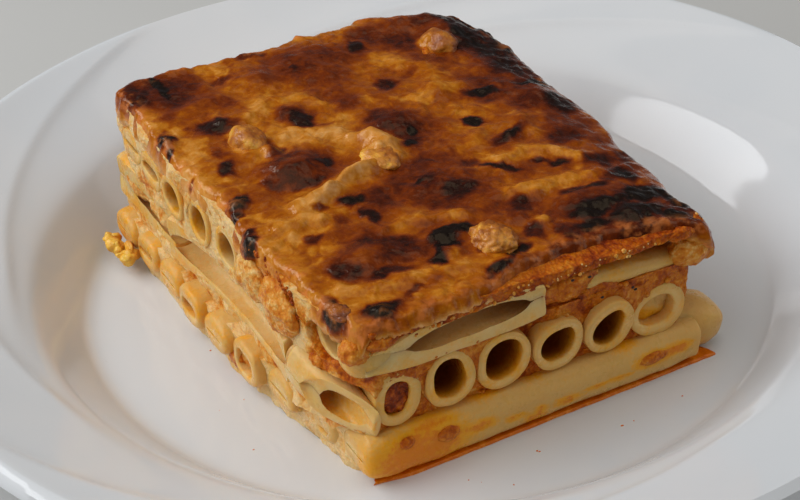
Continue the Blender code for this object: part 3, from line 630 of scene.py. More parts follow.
def plate_profile():
    """The plate's underside, from the rim in, and its upper side, from the middle out: (radius, height)."""
    outer, _, top = np.array(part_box("plate")[1]) / MM
    floor = CORNER[2] / MM
    under = [(outer - EDGE + EDGE * math.cos(math.radians(90 - 30 * step)),
              top - EDGE + EDGE * math.sin(math.radians(90 - 30 * step))) for step in range(7)]
    under += [(LIP + 7, 15.5), (LIP, 11.5), (FOOT + 10, floor - 3.2), (FOOT + 1.2, floor - 4.4),
              (FOOT, 0.0), (FOOT - 3.5, 0.0), (FOOT - 4.7, floor - 4.2), (0.0, floor - 4.2)]
    upper = [(0.0, floor), (74.0, floor), (78.4, floor + 0.4), (80.6, floor + 2.4), (88.0, floor + 9.8),
             (LIP, 17.5), (LIP + 3.5, 19.2), (LIP + 16, 24.0), under[0]]
    return under, upper


def rounded(points, times=3):
    """Corner cutting of an open line, which keeps its two ends."""
    line = np.array(points, float)
    for _ in range(times):
        quarter = line[:-1] * 0.75 + line[1:] * 0.25
        three = line[:-1] * 0.25 + line[1:] * 0.75
        middle = np.stack([quarter, three], 1).reshape(-1, line.shape[1])
        line = np.concatenate([line[:1], middle[1:-1], line[-1:]])
    return line


def spaced(line, step):
    """Points at even steps along a line."""
    runs = np.concatenate([[0.0], np.cumsum(np.linalg.norm(np.diff(line, axis=0), axis=1))])
    count = max(2, int(round(runs[-1] / step)) + 1)
    at = np.linspace(0.0, runs[-1], count)
    return np.stack([np.interp(at, runs, line[:, axis]) for axis in range(line.shape[1])], 1)


def rim_relief(radius, angle, height):
    """The pinwheel of soft ridges that turns round the rim."""
    rise = np.zeros_like(radius)
    for arm in range(ARMS):
        for start in ARM_STARTS:
            swept = (angle - start - arm * 360.0 / ARMS) % 360.0
            ridge = LIP + RIDGE_REACH * np.clip(1.0 - swept / ARM_SWEEP, 0.0, 1.0) ** RIDGE_POWER
            past = radius - ridge
            shape = np.where(past > 0, np.exp(-past / RIDGE_SOFT), np.exp(past / RIDGE_SHARP))
            ends = fade(swept, 0.0, 14.0) * (1.0 - fade(swept, ARM_SWEEP - 26.0, ARM_SWEEP))
            rise += height * shape * ends
    inside = fade(radius, 91.0, 95.0) * (1.0 - fade(radius, 116.5, 119.5))
    return rise * inside


def turned(profile, steps):
    """A closed section, given from the top of its outer side, turned round the upright axis."""
    bm = bmesh.new()
    corners = [bm.verts.new((radius * MM, 0.0, height * MM)) for radius, height in profile]
    for first, second in zip(corners, corners[1:] + corners[:1]):
        if max(first.co.x, second.co.x) > 0.0:
            bm.edges.new((first, second))
    mesh = bpy.data.meshes.new("section")
    bm.to_mesh(mesh)
    bm.free()
    section = bpy.data.objects.new("section", mesh)
    bpy.context.scene.collection.objects.link(section)
    turn = section.modifiers.new("turn", "SCREW")
    turn.steps = steps
    turn.render_steps = steps
    turn.use_merge_vertices = True
    turn.merge_threshold = 0.01 * MM
    bpy.context.view_layer.update()
    turned_section = section.evaluated_get(bpy.context.evaluated_depsgraph_get())
    whole = bpy.data.meshes.new_from_object(turned_section)
    bpy.data.objects.remove(section)
    return whole


def build_plate(look):
    under, above = plate_profile()
    under = spaced(rounded(under), 2.2)
    above = spaced(rounded(above), 0.85)
    keep = (above[:, 0] > 72.0) | (np.arange(len(above)) % 6 == 0)      # the flat floor needs few points
    mesh = turned(np.concatenate([under, above[keep][:-1]]), look.steps)
    points = np.array([vert.co for vert in mesh.vertices])
    upward = np.array([vert.normal.z for vert in mesh.vertices]) > 0.2
    radius = np.hypot(points[:, 0], points[:, 1]) / MM
    angle = np.degrees(np.arctan2(points[:, 1], points[:, 0]))
    points[:, 2] += np.where(upward, rim_relief(radius, angle, look.ridge), 0.0)
    mesh.vertices.foreach_set("co", points.ravel())
    new_piece("dinner_plate", mesh, glazed_porcelain(look), ["plate"], sharp=50)


# ---------------------------------------------------------------- pasta tubes

SQUARENESS = 2.5               # power of the ovals: 2 is round, and more is squarer
RIM_ROUND = 0.5                # radius of the rims where a tube is cut
END_REACH = 7.0                # how far from its end a tube is pressed shut
TUBE_SIDES = 44                # points round a tube
HALF_SIDES = 40                # points round the skin of an opened tube, and round a filling
LIP_STEPS = (0.2, 0.5, 0.8)    # points across the lips of an opened tube
PLUG_RUN = (0.0, 0.1, 0.25, 0.45, 0.8, 1.5, 5.0, 12.0, 22.0)      # sections of a filling inside a tube
PLUG_SWELL = (0.30, 0.58, 0.80, 0.92, 0.99, 1.0, 1.0, 1.0, 0.95)
PLUG_OVERLAP = 0.3             # how far a filling is let into the wall round it


def oval(turn, power=SQUARENESS):
    """Distance from the middle to a squarish ring of half size 1, at each turn round it."""
    return (np.abs(np.cos(turn)) ** power + np.abs(np.sin(turn)) ** power) ** (-1.0 / power)


class Tube:
    """One boiled tube: its axis, the directions across and up, and its size along the axis."""

    def __init__(self, start, end, width, tall, seed, **shape):
        self.start, self.end = np.array(start, float), np.array(end, float)
        self.length = float(np.linalg.norm(self.end - self.start))
        self.way = (self.end - self.start) / self.length
        across = np.cross(self.way, (0.0, 0.0, 1.0))
        self.across = across / np.linalg.norm(across)
        self.up = np.cross(self.across, self.way)
        self.width = width if isinstance(width, tuple) else (width, width)
        self.tall = tall if isinstance(tall, tuple) else (tall, tall)
        self.seed = seed
        self.wall = 2.15
        self.sway = 0.0                  # bow of the axis towards its across direction
        self.squash = (0.0, 0.0)         # how far each end is pressed shut, from 0 to 1
        self.blunt = (RIM_ROUND, RIM_ROUND)
        self.tilt = (0.0, 0.0)           # slope of the cut at its start, across and up
        self.lumpy = 0.18
        self.square = SQUARENESS
        self.shade_depth = 9.0                  # depth at which the painted shade in the hollow reaches the deep colour
        self.soak = 0.10                 # how stained the hollow is
        self.hollow_shade = 0.75                # how strong the painted shade in the hollow of an opened tube gets
        self.lift = 0.0                  # how far its hollow lies above its middle
        self.__dict__.update(shape)

    def along(self, part):
        """Axis points and half sizes at parts of the length."""
        part = np.asarray(part, float)
        point = self.start + part[..., None] * (self.end - self.start)
        point = point + (np.sin(math.pi * part) * self.sway)[..., None] * self.across
        half_width = 0.5 * (self.width[0] + (self.width[1] - self.width[0]) * part)
        half_tall = 0.5 * (self.tall[0] + (self.tall[1] - self.tall[0]) * part)
        return point, half_width, half_tall

    def face(self, x, y, sign):
        """Height of the tube's top (sign 1) or underside (-1), nan beside it, and its axis height."""
        heading = self.way[:2] / np.linalg.norm(self.way[:2])
        dx, dy = x - self.start[0], y - self.start[1]
        run = np.clip((dx * heading[0] + dy * heading[1]) / self.length, 0.0, 1.0)
        point, half_width, half_tall = self.along(run)
        off = (x - point[..., 0]) * self.across[0] + (y - point[..., 1]) * self.across[1]
        share = np.abs(off) / half_width
        crown = np.clip(1.0 - np.clip(share, 0.0, 1.0) ** self.square, 0.0, 1.0) ** (1.0 / self.square)
        height = point[..., 2]
        return np.where(share < 1.0, height + sign * half_tall * crown, np.nan), height


def layer_face(tubes, x, y, sign):
    """Top (sign 1) or underside (-1) of a whole layer; between tubes it falls to their axes."""
    best, axes = np.full(x.shape, np.nan), []
    for tube in tubes:
        face, axis = tube.face(x, y, sign)
        best = np.fmax(best, face) if sign > 0 else np.fmin(best, face)
        axes.append(axis)
    return np.where(np.isnan(best), np.mean(axes, axis=0), best)


def run_parts(length, step=2.4):
    """Positions along a tube, close together where its cut rims are rounded."""
    near = [0.0, 0.12, 0.28, 0.5, 0.9, 1.6]
    middle = np.linspace(2.4, length - 2.4, max(3, int(length / step)))
    return np.concatenate([near, middle, [length - value for value in reversed(near)]]) / length


def drawn_back(distance, radius):
    """How far a rounded rim has drawn back, at a distance from the cut."""
    share = np.clip(1.0 - distance / radius, 0.0, 1.0)
    return radius * (1.0 - np.sqrt(1.0 - share * share))


def tube_shell(tube, heap, stain):
    """A whole tube: outside, rounded rims and hollow in one closed surface."""
    sides = TUBE_SIDES
    rng = random.Random(tube.seed)
    phase = [rng.uniform(0.0, 6.28) for _ in range(6)]
    part = run_parts(tube.length)
    turn = np.linspace(0.0, 2 * math.pi, sides, endpoint=False)
    axis, half_width, half_tall = tube.along(part)
    from_start, from_end = part * tube.length, (1.0 - part) * tube.length
    from_cut = np.minimum(from_start, from_end)
    near_start = 1.0 - fade(from_start, 0.0, END_REACH)
    near_end = 1.0 - fade(from_end, 0.0, END_REACH)
    pinch = (tube.squash[0] * near_start + tube.squash[1] * near_end)[:, None]
    ring = 1.0 + 0.020 * np.cos(2 * turn + phase[0]) + 0.016 * np.cos(3 * turn + phase[1])
    ring = oval(turn, tube.square) * ring
    thick = tube.wall * (1.0 + 0.10 * np.cos(turn + phase[2]) + 0.07 * np.cos(2 * turn + phase[3]))
    outer_draw = drawn_back(from_start, tube.blunt[0]) + drawn_back(from_end, tube.blunt[1])
    inner_draw = drawn_back(from_cut, RIM_ROUND)
    slope = (tube.tilt[0] * np.cos(turn) + tube.tilt[1] * np.sin(turn)) * near_start[:, None]

    def surface(inner):
        full_wide, full_high = half_width[:, None] * ring, half_tall[:, None] * ring
        wide = np.maximum(full_wide - outer_draw[:, None], 0.6)
        high = np.maximum(full_high * (1.0 - 0.25 * pinch) - outer_draw[:, None], 0.5)
        if inner:
            draw = inner_draw[:, None]
            wide = np.clip(full_wide - thick + draw, 0.2, wide - 0.35)
            high = np.clip((full_high - thick + draw) * (1.0 - 0.96 * pinch), 0.1, high - 0.35)
        wide = wide + 0.10 * np.sin(phase[4] + part[:, None] * tube.length / 9.0 + 2 * turn)
        points = axis[:, None, :] + tube.across * (wide * np.cos(turn))[..., None]
        points = points + tube.up * (high * np.sin(turn))[..., None]
        return points + tube.way * (slope * half_tall[:, None])[..., None]

    outside, inside = surface(False), surface(True)[::-1]
    points = np.concatenate([outside, inside]).reshape(-1, 3)
    centre = np.repeat(np.concatenate([axis, axis[::-1]]), sides, axis=0)
    outward = points - centre
    outward /= np.linalg.norm(outward, axis=1)[:, None] + 1e-9
    points = points + outward * (tube.lumpy * rumple(points, 5.5, 2, tube.seed * 1.7))[:, None]
    is_inner = np.repeat(np.arange(2 * len(part)) >= len(part), sides)
    from_cut = np.repeat(np.concatenate([from_cut, from_cut[::-1]]), sides)
    # Painted shade: the hollow darkens towards the deep colour with depth from the cut.
    deep = np.where(is_inner, fade(from_cut, 0.0, tube.shade_depth), 0.0)
    soaked = np.where(is_inner, tube.soak * fade(from_cut, -1.0, 2.0), 0.0)
    heap.add(points, grid_faces(2 * len(part), sides, True, True), stain=stain(points) + soaked,
             deep=deep, skin=np.where(is_inner, 0.0, 1.0))


def loop_faces(rows, columns):
    """Quads between closed loops of points, and the two caps that close the first and last loop."""
    ends = [np.arange(columns)[::-1], (rows - 1) * columns + np.arange(columns)]
    return grid_faces(rows, columns, closed_columns=True), ends


def plug(tube, start):
    """A filling of a tube's hollow, from a little behind its end: points, faces and the two ends."""
    sides = HALF_SIDES
    part = (start + np.array(PLUG_RUN)) / tube.length
    turn = np.linspace(0.0, 2 * math.pi, sides, endpoint=False)
    axis, wide, high = tube.along(part)
    ring = oval(turn, tube.square) * np.array(PLUG_SWELL)[:, None]
    wide, high = (half[:, None] - tube.wall + PLUG_OVERLAP for half in (wide, high))
    points = axis[:, None, :] + tube.across * (wide * ring * np.cos(turn))[..., None]
    points = points + tube.up * (high * ring * np.sin(turn))[..., None]
    points = points.reshape(-1, 3)
    near = 1.0 - fade(points[:, 1], start + 1.0, start + 3.0)
    points[:, 1] -= near * (0.8 * rumple(points, 3.0, 2, 5.0) + 0.3 * (pebbles(points, 1.6, 5.0) - 0.5))
    return points, *loop_faces(len(part), sides)


def gutter_shell(tube, cut_at, kept, heap, stain):
    """A tube that a cut has opened along its side.

    cut_at gives, at parts of the length, how far the cut lies from the axis towards the kept side,
    which is the tube's across side where kept is 1 and the other one where it is -1.
    """
    sides = HALF_SIDES
    part = run_parts(tube.length, step=1.1)
    axis, half_width, half_tall = tube.along(part)
    offsets = cut_at(part)
    share = np.linspace(-1.0, 1.0, sides)
    steps = np.array(LIP_STEPS)[:, None]
    loops = []
    for index, offset in enumerate(offsets):
        draw = float(drawn_back(min(part[index], 1.0 - part[index]) * tube.length, RIM_ROUND))
        arcs = []
        for inset, turns, lift in ((draw, share, 0.0), (tube.wall - draw, share[::-1], tube.lift)):
            wide, high = half_width[index] - inset, half_tall[index] - inset
            turns = turns * math.acos(float(np.clip(offset / wide, -0.9999, 0.95)))
            aside, upward = wide * np.cos(turns) * oval(turns), high * np.sin(turns) * oval(turns)
            arcs.append(np.stack([aside, upward + lift], 1))
        outer, inner = arcs
        crease = 0.2 * float(np.clip(offset + half_width[index] - tube.wall, 0.0, 1.0))
        lips = []
        for first, second in ((outer[-1], inner[0]), (inner[-1], outer[0])):
            lip = first + (second - first) * steps
            lip[:, 0] -= crease * np.sin(math.pi * steps[:, 0])
            lips.append(lip)
        loops.append(np.concatenate([outer, lips[0], inner, lips[1]]))
    loops = np.array(loops)
    points = axis[:, None, :] + tube.across * kept * loops[..., 0:1] + tube.up * loops[..., 1:2]
    columns = loops.shape[1]
    points = points.reshape(-1, 3)
    swell = rumple(points, 5.0, 2, tube.seed * 1.3 + 4.0) * tube.lumpy
    points = points + (tube.up + tube.across * kept) * swell[:, None] * 0.7
    order = np.arange(columns)
    is_inner = np.tile((order > sides + 3) & (order < 2 * sides + 2), len(part))
    depth = np.clip(loops[..., 0].ravel() - np.repeat(offsets, columns), 0.0, 20.0)
    # Painted shade: the opened hollow darkens with depth behind the cut.
    deep = np.where(is_inner, fade(depth, 0.5, 9.0) * tube.hollow_shade, 0.0)
    stains = stain(points) * (1.0 - 0.65 * is_inner) + tube.soak * is_inner
    heap.add(points, *loop_faces(len(part), columns), stain=stains, deep=deep, skin=0.3)


def cad_tube(node, seed, **shape):
    """A tube with the axis and size of a CAD node whose both ends are whole."""
    points = np.array([vert.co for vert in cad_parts[node].data.vertices])
    points = (points - CORNER) / MM
    long = int(np.argmax(np.ptp(points, axis=0)))
    aside = 1 - long
    ends, widths, talls = [], [], []
    for cut in (points[:, long].min(), points[:, long].max()):
        rim = points[np.abs(points[:, long] - cut) < 1.0]
        low, high = rim.min(axis=0), rim.max(axis=0)
        centre = (low + high) / 2
        centre[long] = cut
        ends.append(centre)
        widths.append(high[aside] - low[aside])
        talls.append(high[2] - low[2])
    return Tube(ends[0], ends[1], tuple(widths), tuple(talls), seed, **shape)


# Each layer's tubes count their seeds on from these.
BOTTOM_SEED, MIDDLE_SEED, GUTTER_SEED, TOP_SEED, FRONT_TOP_SEED = 20, 40, 51, 60, 71

# How far the left ends of the bottom tubes are pressed shut, from the front one to the back.
LEFT_SQUASH = (0.99, 0.35, 0.90, 0.10, 0.97, 0.50, 0.93, 0.80, 0.95)
LEFT_REACH = (0.0, 0.4, 1.8, 1.8, 2.2, 2.4, 0.6, 0.0, 0.0)      # how far they stand out past their nodes
# Smears of sauce on the front of the bottom layer: x, z, half length, half height, strength.
FRONT_SMEARS = [
    (6.5, 9.6, 2.2, 1.6, 0.95), (7.5, 6.0, 4.5, 2.6, 0.70), (16.0, 7.6, 3.2, 2.4, 1.05),
    (23.5, 6.6, 3.6, 1.7, 0.80), (31.5, 5.2, 2.2, 0.9, 0.85), (36.5, 3.0, 2.4, 1.5, 0.80),
    (38.2, 4.6, 0.9, 1.4, 0.80), (44.5, 4.4, 3.2, 1.4, 0.80), (51.5, 5.0, 2.0, 0.7, 0.85),
    (57.5, 5.0, 3.2, 0.7, 0.78), (41.8, 9.0, 0.8, 0.5, 0.70), (66.0, 6.6, 4.8, 2.0, 0.92),
    (73.0, 6.8, 3.4, 1.6, 0.88), (2.0, 4.0, 2.0, 2.5, 0.55), (9.0, 5.5, 12.0, 6.5, 0.82),
    (12.5, 11.2, 6.0, 1.2, 0.75), (26.0, 12.6, 4.5, 1.0, 0.70), (38.0, 12.4, 3.5, 0.9, 0.60),
    (60.0, 11.2, 3.0, 0.9, 0.55),
]
THICK_SMEAR = 0.9              # smears stronger than this are lumps too


def front_smears(points):
    """Strength of the sauce stains on the bottom tubes' front."""
    places = [(x, z, long, high, 0, power) for x, z, long, high, power in FRONT_SMEARS]
    spots = marks(points[:, 0], points[:, 2], places)
    return (spots + 0.06) * (1.0 - fade(points[:, 1], 2.5, 5.0)) + 0.03


def left_stain(points):
    """Stain that grows towards the left cut face, where sauce was dragged over the pasta."""
    near = 1.0 - fade(points[:, 0], -9.0, 2.0)
    far = 0.11 + 0.16 * fade(points[:, 1], 35.0, 80.0)
    return 0.05 + near * (far + 0.44 * rumple(points, 3.6, 3, 12.3))


def bottom_stain(points):
    return np.maximum(front_smears(points), left_stain(points))


def bottom_tubes():
    """The pressed tubes along x; the front one is flat, and the second one's end turns past it."""
    tubes = []
    for index, node in enumerate(nodes_of("bottom_tube")):
        shut = LEFT_SQUASH[index]
        tube = cad_tube(node, BOTTOM_SEED + index, squash=(shut, 0.25 + 0.3 * (index % 3)),
                        blunt=(1.0 + 0.5 * shut, 1.2))
        if index == 0:
            tube = Tube((-2.4, 4.8, 6.6), (78.6, 4.8, 5.7), 12.3, (12.3, 10.6), BOTTOM_SEED,
                        squash=tube.squash, blunt=(2.6, 0.4), square=3.6)
        if index == 1:
            x, y, _ = tube.start
            tube = Tube((x, y, 6.4), (74.0, y, 5.8), (12.2, 12.0), (10.6, 10.6), BOTTOM_SEED + 1,
                        squash=(shut, 0.6), blunt=(2.0, 3.0))
            tubes.append(Tube((68.0, 8.2, 6.0), (88.2, 6.6, 5.9), (12.0, 13.2), (10.4, 12.4),
                              BOTTOM_SEED - 1, squash=(0.6, 0.99), blunt=(3.0, 4.4), lumpy=0.3))
        tube = Tube(tube.start - tube.way * LEFT_REACH[index], tube.end, tube.width, tube.tall, tube.seed,
                    squash=tube.squash, blunt=tube.blunt, lumpy=0.3, square=tube.square)
        tubes.append(tube)
    return tubes


# Ends of the six tubes on the front face: x, y and z of the middle, width, height, wall, slope of the
# cut across and up, depth at which the painted shade in the hollow is full, and how stained the hollow is.
FRONT_RINGS = [
    (5.9, 0.5, 19.7, 10.8, 12.6, 2.5, (0.0, 0.02), 6.0, 0.60),
    (17.7, 0.1, 19.8, 11.8, 13.0, 1.9, (0.03, 0.02), 3.8, 0.55),
    (30.2, 0.2, 19.4, 12.8, 13.2, 2.0, (-0.03, 0.0), 3.8, 0.55),
    (43.0, -0.4, 18.6, 12.0, 13.0, 2.1, (0.02, -0.08), 3.4, 0.55),
    (55.3, -0.7, 18.4, 12.0, 13.6, 2.2, (0.0, -0.16), 3.4, 0.55),
    (68.4, 0.6, 17.0, 13.8, 12.6, 2.6, (-0.02, 0.0), 40.0, 0.10),
]


def middle_tubes():
    """The six whole tubes along y, from the front face to the back."""
    tubes = []
    for index, (x, y, z, width, tall, wall, slope, shade_depth, soak) in enumerate(FRONT_RINGS):
        far = cad_tube(f"middle_tube_{index + 1:02d}", 0)
        tubes.append(Tube((x, y, z), far.end, (width, far.width[1]), (tall, far.tall[1]),
                          MIDDLE_SEED + index, wall=wall, tilt=slope, lumpy=0.24, square=2.12,
                          shade_depth=shade_depth, soak=soak))
    return tubes


# How far the left ends of the top tubes are pressed shut, from the third tube to the back.
TOP_SQUASH = (0.0, 0.75, 0.75, 0.0, 0.0, 0.1, 0.6, 0.85)
TOP_SHIFT = (-1.4, 0.0, -0.9)          # from the CAD node to the left end of a top tube
TOP_SHIFT_FIRST = (1.4, -1.0, -0.7)    # and of the one at the front, which hides behind the sauce


def top_tubes():
    """The tubes along x whose ends show on the left face."""
    tubes = []
    for index, node in enumerate(nodes_of("top_tube")[2:]):
        tube = cad_tube(node, 0)
        start = tube.start + (TOP_SHIFT if index else TOP_SHIFT_FIRST)
        tubes.append(Tube(start, tube.end, (11.2, 11.9), (10.2, 8.0), TOP_SEED + index,
                          squash=(TOP_SQUASH[index], 0.3), wall=1.6, square=2.2, shade_depth=7.0))
    return tubes


def build_bottom_tubes(look):
    heap = Heap()
    for tube in bottom_tubes():
        tube_shell(tube, heap, bottom_stain)
    heap.piece("bottom_pasta", boiled_pasta(look), "pasta", nodes_of("bottom_tube"))


def corner_cut(part):
    """The cut crosses the corner tube slantwise, so the hollow shows only near the front."""
    return 3.3 - 5.7 * part / 0.55


def long_cut(part):
    """A shallow cut that opens the long tube like a boat."""
    return -1.0 - 2.35 * np.abs(2.0 * part - 1.0) ** 2.4


def back_cut(part):
    """The same cut goes on through the tube behind, and deeper towards the back."""
    return -1.9 - 1.5 * part


def front_cut(part):
    """The front cut opens the top tube where that bows out, and leaves it shut at both ends."""
    return -3.9 + 2.2 * np.sin(math.pi * np.clip((part - 0.12) / 0.88, 0.0, 1.0)) ** 0.9


def middle_gutters():
    """The three cut tubes along the left face, each with the way that the cut runs along it."""
    corner = Tube((-2.4, -0.2, 15.4), (-4.4, 21.5, 20.2), (8.4, 8.8), (10.4, 12.0), GUTTER_SEED,
                  wall=1.9, hollow_shade=0.45, soak=0.40)
    long = Tube((-4.5, 22.6, 19.9), (-6.1, 79.4, 19.2), 10.8, (11.8, 11.6), GUTTER_SEED + 1, hollow_shade=0.12)
    back = Tube((-5.8, 80.4, 19.4), (-5.6, 110.5, 19.8), 10.6, 11.8, GUTTER_SEED + 2, hollow_shade=0.25)
    return [(corner, corner_cut), (long, long_cut), (back, back_cut)]


def clouds(base, more, size, octaves, shift):
    """A stain that comes and goes: its mean, how much it changes, and its noise."""
    return lambda points: base + more * rumple(points, size, octaves, shift)


def ring_stain(points):
    return 0.14 + 0.36 * np.clip(rumple(points, 4.0, 3, 2.2), 0.0, 1.0)


def build_middle_tubes(look):
    heap = Heap()
    whole = middle_tubes()
    for tube in whole:
        tube_shell(tube, heap, ring_stain)
    for tube, cut in middle_gutters():
        gutter_shell(tube, cut, 1.0, heap, left_stain)
    last = whole[-1]
    points, faces, ends = plug(last, 2.4)      # pasta that fills the last tube, with oil low on its left
    soaked = 0.70 - 0.60 * fade(points[:, 2] - last.start[2] + 0.4 * points[:, 0] - 27.4, -2.5, 1.5)
    heap.add(points, faces, ends, stain=soaked, deep=0.05, skin=0.5)
    heap.piece("middle_pasta", boiled_pasta(look), "pasta", nodes_of("middle_tube"))


# The pinched left end of the opened top tube: middle and half sizes.
TUBE_END = (2.2, 5.0, 30.4)
TUBE_END_HALF = (6.0, 4.6, 4.8)
TUBE_END_POWER = 0.75          # below 1 its ball is squarer


def front_top_tubes():
    """The two tubes at the top of the front face: one that the cut opened, and a small whole one."""
    open_tube = Tube((-0.8, 4.6, 30.6), (39.8, 4.0, 31.0), (9.4, 10.0), (8.8, 9.8), FRONT_TOP_SEED,
                     wall=1.8, sway=2.1, lift=0.6, blunt=(2.0, 0.5), hollow_shade=1.1)
    small = Tube((49.0, 4.2, 30.6), (76.5, 4.4, 26.8), (7.6, 7.2), 5.0, FRONT_TOP_SEED + 1,
                 wall=1.4, blunt=(2.4, 2.0), square=2.0, lumpy=0.35)
    return open_tube, small


def build_top_tubes(look):
    heap = Heap()
    for tube in top_tubes():
        tube_shell(tube, heap, left_stain)
    open_tube, small = front_top_tubes()
    gutter_shell(open_tube, front_cut, -1.0, heap, clouds(0.16, 0.35, 5.0, 3, 7.7))
    points, faces = ball(4)
    end = np.array(TUBE_END_HALF) * np.sign(points) * np.abs(points) ** TUBE_END_POWER
    stain = clouds(0.16, 0.3, 3.0, 2, 3.0)(end)
    heap.add(np.array(TUBE_END) + end, faces, stain=stain, deep=0.0, skin=1.0)
    tube_shell(small, heap, clouds(0.28, 0.35, 5.0, 3, 6.1))
    heap.piece("top_pasta", boiled_pasta(look), "pasta", nodes_of("top_tube"))


# ---------------------------------------------------------------- sauces

# Sides of the layers of sauce, as (y, x), and how far back each layer reaches.
MIDDLE_LEFT = [(0, 0.8), (14, -5.6), (20, -7.4), (26, -5.6), (50, -6.2), (80, -8.2), (112, -8.4)]
MIDDLE_RIGHT = [(0, 74.6), (20, 78.8), (60, 83.2), (112, 82.4)]
UPPER_MIDDLE_LEFT = [(0, 0.8), (8, -3.4), (14, -5.2), (26, -6.2), (38, -6.8), (50, -7.1), (63, -7.9),
                     (75, -8.7), (88, -8.5), (100, -8.0), (112, -7.4)]
SKIRT_LEFT = [(0, 3.0), (4, 1.8), (9, -0.8), (13, -1.4), (20, -2.0), (30, -3.8), (43, -6.0), (55, -7.2),
              (68, -7.8), (80, -7.6), (93, -8.0), (112, -8.4)]
SKIRT_RIGHT = [(0, 6.0), (112, 4.0)]
TOP_LEFT = [(0, 0.4), (14, -4.8), (26, -5.8), (38, -6.5), (50, -6.8), (63, -7.6), (75, -8.4),
            (88, -8.2), (112, -7.0)]
TOP_RIGHT = [(0, 79.6), (8, 80.6), (20, 81.0), (57, 85.0), (95, 86.0), (112, 83.0)]
FILM_LEFT = [(-2, -2.0), (0, -0.6), (3, 3.0), (8, 5.0), (14, 3.4), (26, 0.0), (64, -3.0), (88, -4.5),
             (110, -3.0)]
FILM_RIGHT = [(-2, 82.0), (-1, 83.2), (0.3, 84.4), (1.6, 83.2), (5, 80.0), (90, 82.0), (110, 80.0)]
MIDDLE_BACK, SKIRT_BACK, TOP_BACK = 109.5, 108.5, 110.0
FILM_FOOT, FILM_TOP = 0.06, 0.66
SUNK = 1.1                     # how far each layer of sauce is let in between its tubes
SHRINK = (0.985, 0.96, 0.92, 0.85, 0.72, 0.5, 0.25)      # rings of a slab's hidden top and bottom
WALL_ROWS = 15


def outline(left, right, front, back, step):
    """Closed line of points round a layer, counted from its near left corner to the right."""
    depth = np.linspace(0.0, DEPTH, 60)
    width = np.linspace(0.0, 1.0, 50)
    x0, x1 = between(left, 0.0), between(right, 0.0)
    near = np.stack([x0 + (x1 - x0) * width, front(x0 + (x1 - x0) * width)], 1)
    keep = (depth > near[-1, 1] + 1.0) & (depth < back - 1.0)
    right_side = np.stack([between(right, depth[keep]), depth[keep]], 1)
    x0, x1 = between(left, DEPTH), between(right, DEPTH)
    far = np.stack([x1 + (x0 - x1) * width, np.full(len(width), back)], 1)
    left_side = np.stack([between(left, depth[keep]), depth[keep]], 1)[::-1]
    line = rounded(np.concatenate([near, right_side, far, left_side, near[:1]]), 2)
    return spaced(line, step)[:-1]


def outward_of(line):
    """Level unit directions that point out of a closed line."""
    ahead = np.roll(line, -2, axis=0) - np.roll(line, 2, axis=0)
    out = np.stack([ahead[:, 1], -ahead[:, 0]], 1)
    return out / (np.linalg.norm(out, axis=1)[:, None] + 1e-9)


def slab(heap, line, low, high, grain, lean=None, rows=WALL_ROWS, paint=None):
    """A filling between two surfaces: hidden above and below, with a rough wall round it.

    low and high give its heights at x, y; grain gives how far each wall point stands out; lean
    moves the upper part of the wall back.
    """
    def raised(ring):
        """The upper surface over a ring, always a little above the lower one."""
        x, y = ring[:, 0], ring[:, 1]
        return np.maximum(high(x, y), low(x, y) + 0.3)

    centre = line.mean(axis=0)
    rings = [centre + (line - centre) * share for share in SHRINK]
    below = [np.column_stack([ring, low(ring[:, 0], ring[:, 1])]) for ring in reversed(rings)]
    above = [np.column_stack([ring, raised(ring)]) for ring in rings]
    out = outward_of(line)
    inner = line - out * 0.6
    foot, head = low(inner[:, 0], inner[:, 1]), raised(inner)
    share = np.linspace(0.0, 1.0, rows)[:, None]
    wall = np.empty((rows, len(line), 3))
    wall[..., :2] = line[None]
    wall[..., 2] = foot + (head - foot) * share
    wall = wall.reshape(-1, 3)
    outward = np.tile(out, (rows, 1))
    wall[:, :2] += outward * grain(wall)[:, None]
    if lean:
        wall[:, :2] -= outward * lean(wall)[:, None]
    points = np.concatenate(below + [wall] + above)
    count, total = len(line), len(points)
    last = total - count
    middle = np.array([[*centre, below[0][:, 2].mean()], [*centre, above[-1][:, 2].mean()]])
    caps = [[(k + 1) % count, k, total] for k in range(count)]
    caps += [[last + k, last + (k + 1) % count, total + 1] for k in range(count)]
    quads = grid_faces(total // count, count, closed_columns=True)
    points = np.concatenate([points, middle])
    values = {label: value(points) for label, value in (paint or {}).items()}
    heap.add(points, quads, caps, **values)
    return wall


def crumbs(heap, wall, keep, count, sizes, seed, **paint):
    """Small rough grains pressed into a wall, at random places among the ones that keep allows."""
    rng = random.Random(seed)
    allowed = wall[keep(wall[:, 0], wall[:, 1])]
    places = [allowed[rng.randrange(len(allowed))] for _ in range(count)]
    rng = random.Random(seed + 1)
    points, faces = ball(2)
    for place in places:
        size = rng.uniform(*sizes)
        stretch = np.array([rng.uniform(0.7, 1.25) for _ in range(3)])
        rough = 1.0 + 0.22 * rumple(points * 1.3, 1.0, 1, rng.uniform(0.0, 50.0))
        heap.add(place + points * rough[:, None] * size * stretch, faces, **paint)


def sauce_grain(recess, left_swell=0.3):
    """How far a sauce wall stands out: small crumbs on soft lumps, and more on the left face."""
    def grain(points):
        left = 1.0 - fade(points[:, 0], -5.0, 4.0)
        lumps = 0.40 * rumple(points, 4.5, 3, 14.0)
        lumps += 0.34 * (pebbles(points, 2.1, 3.0) - 0.5) * (1.0 - 0.5 * left)
        lumps += 0.24 * (pebbles(points, 1.0, 9.0) - 0.5) * (1.0 - 0.7 * left)
        return lumps - recess + left * (left_swell + 0.9 * rumple(points, 6.0, 2, 27.0))
    return grain


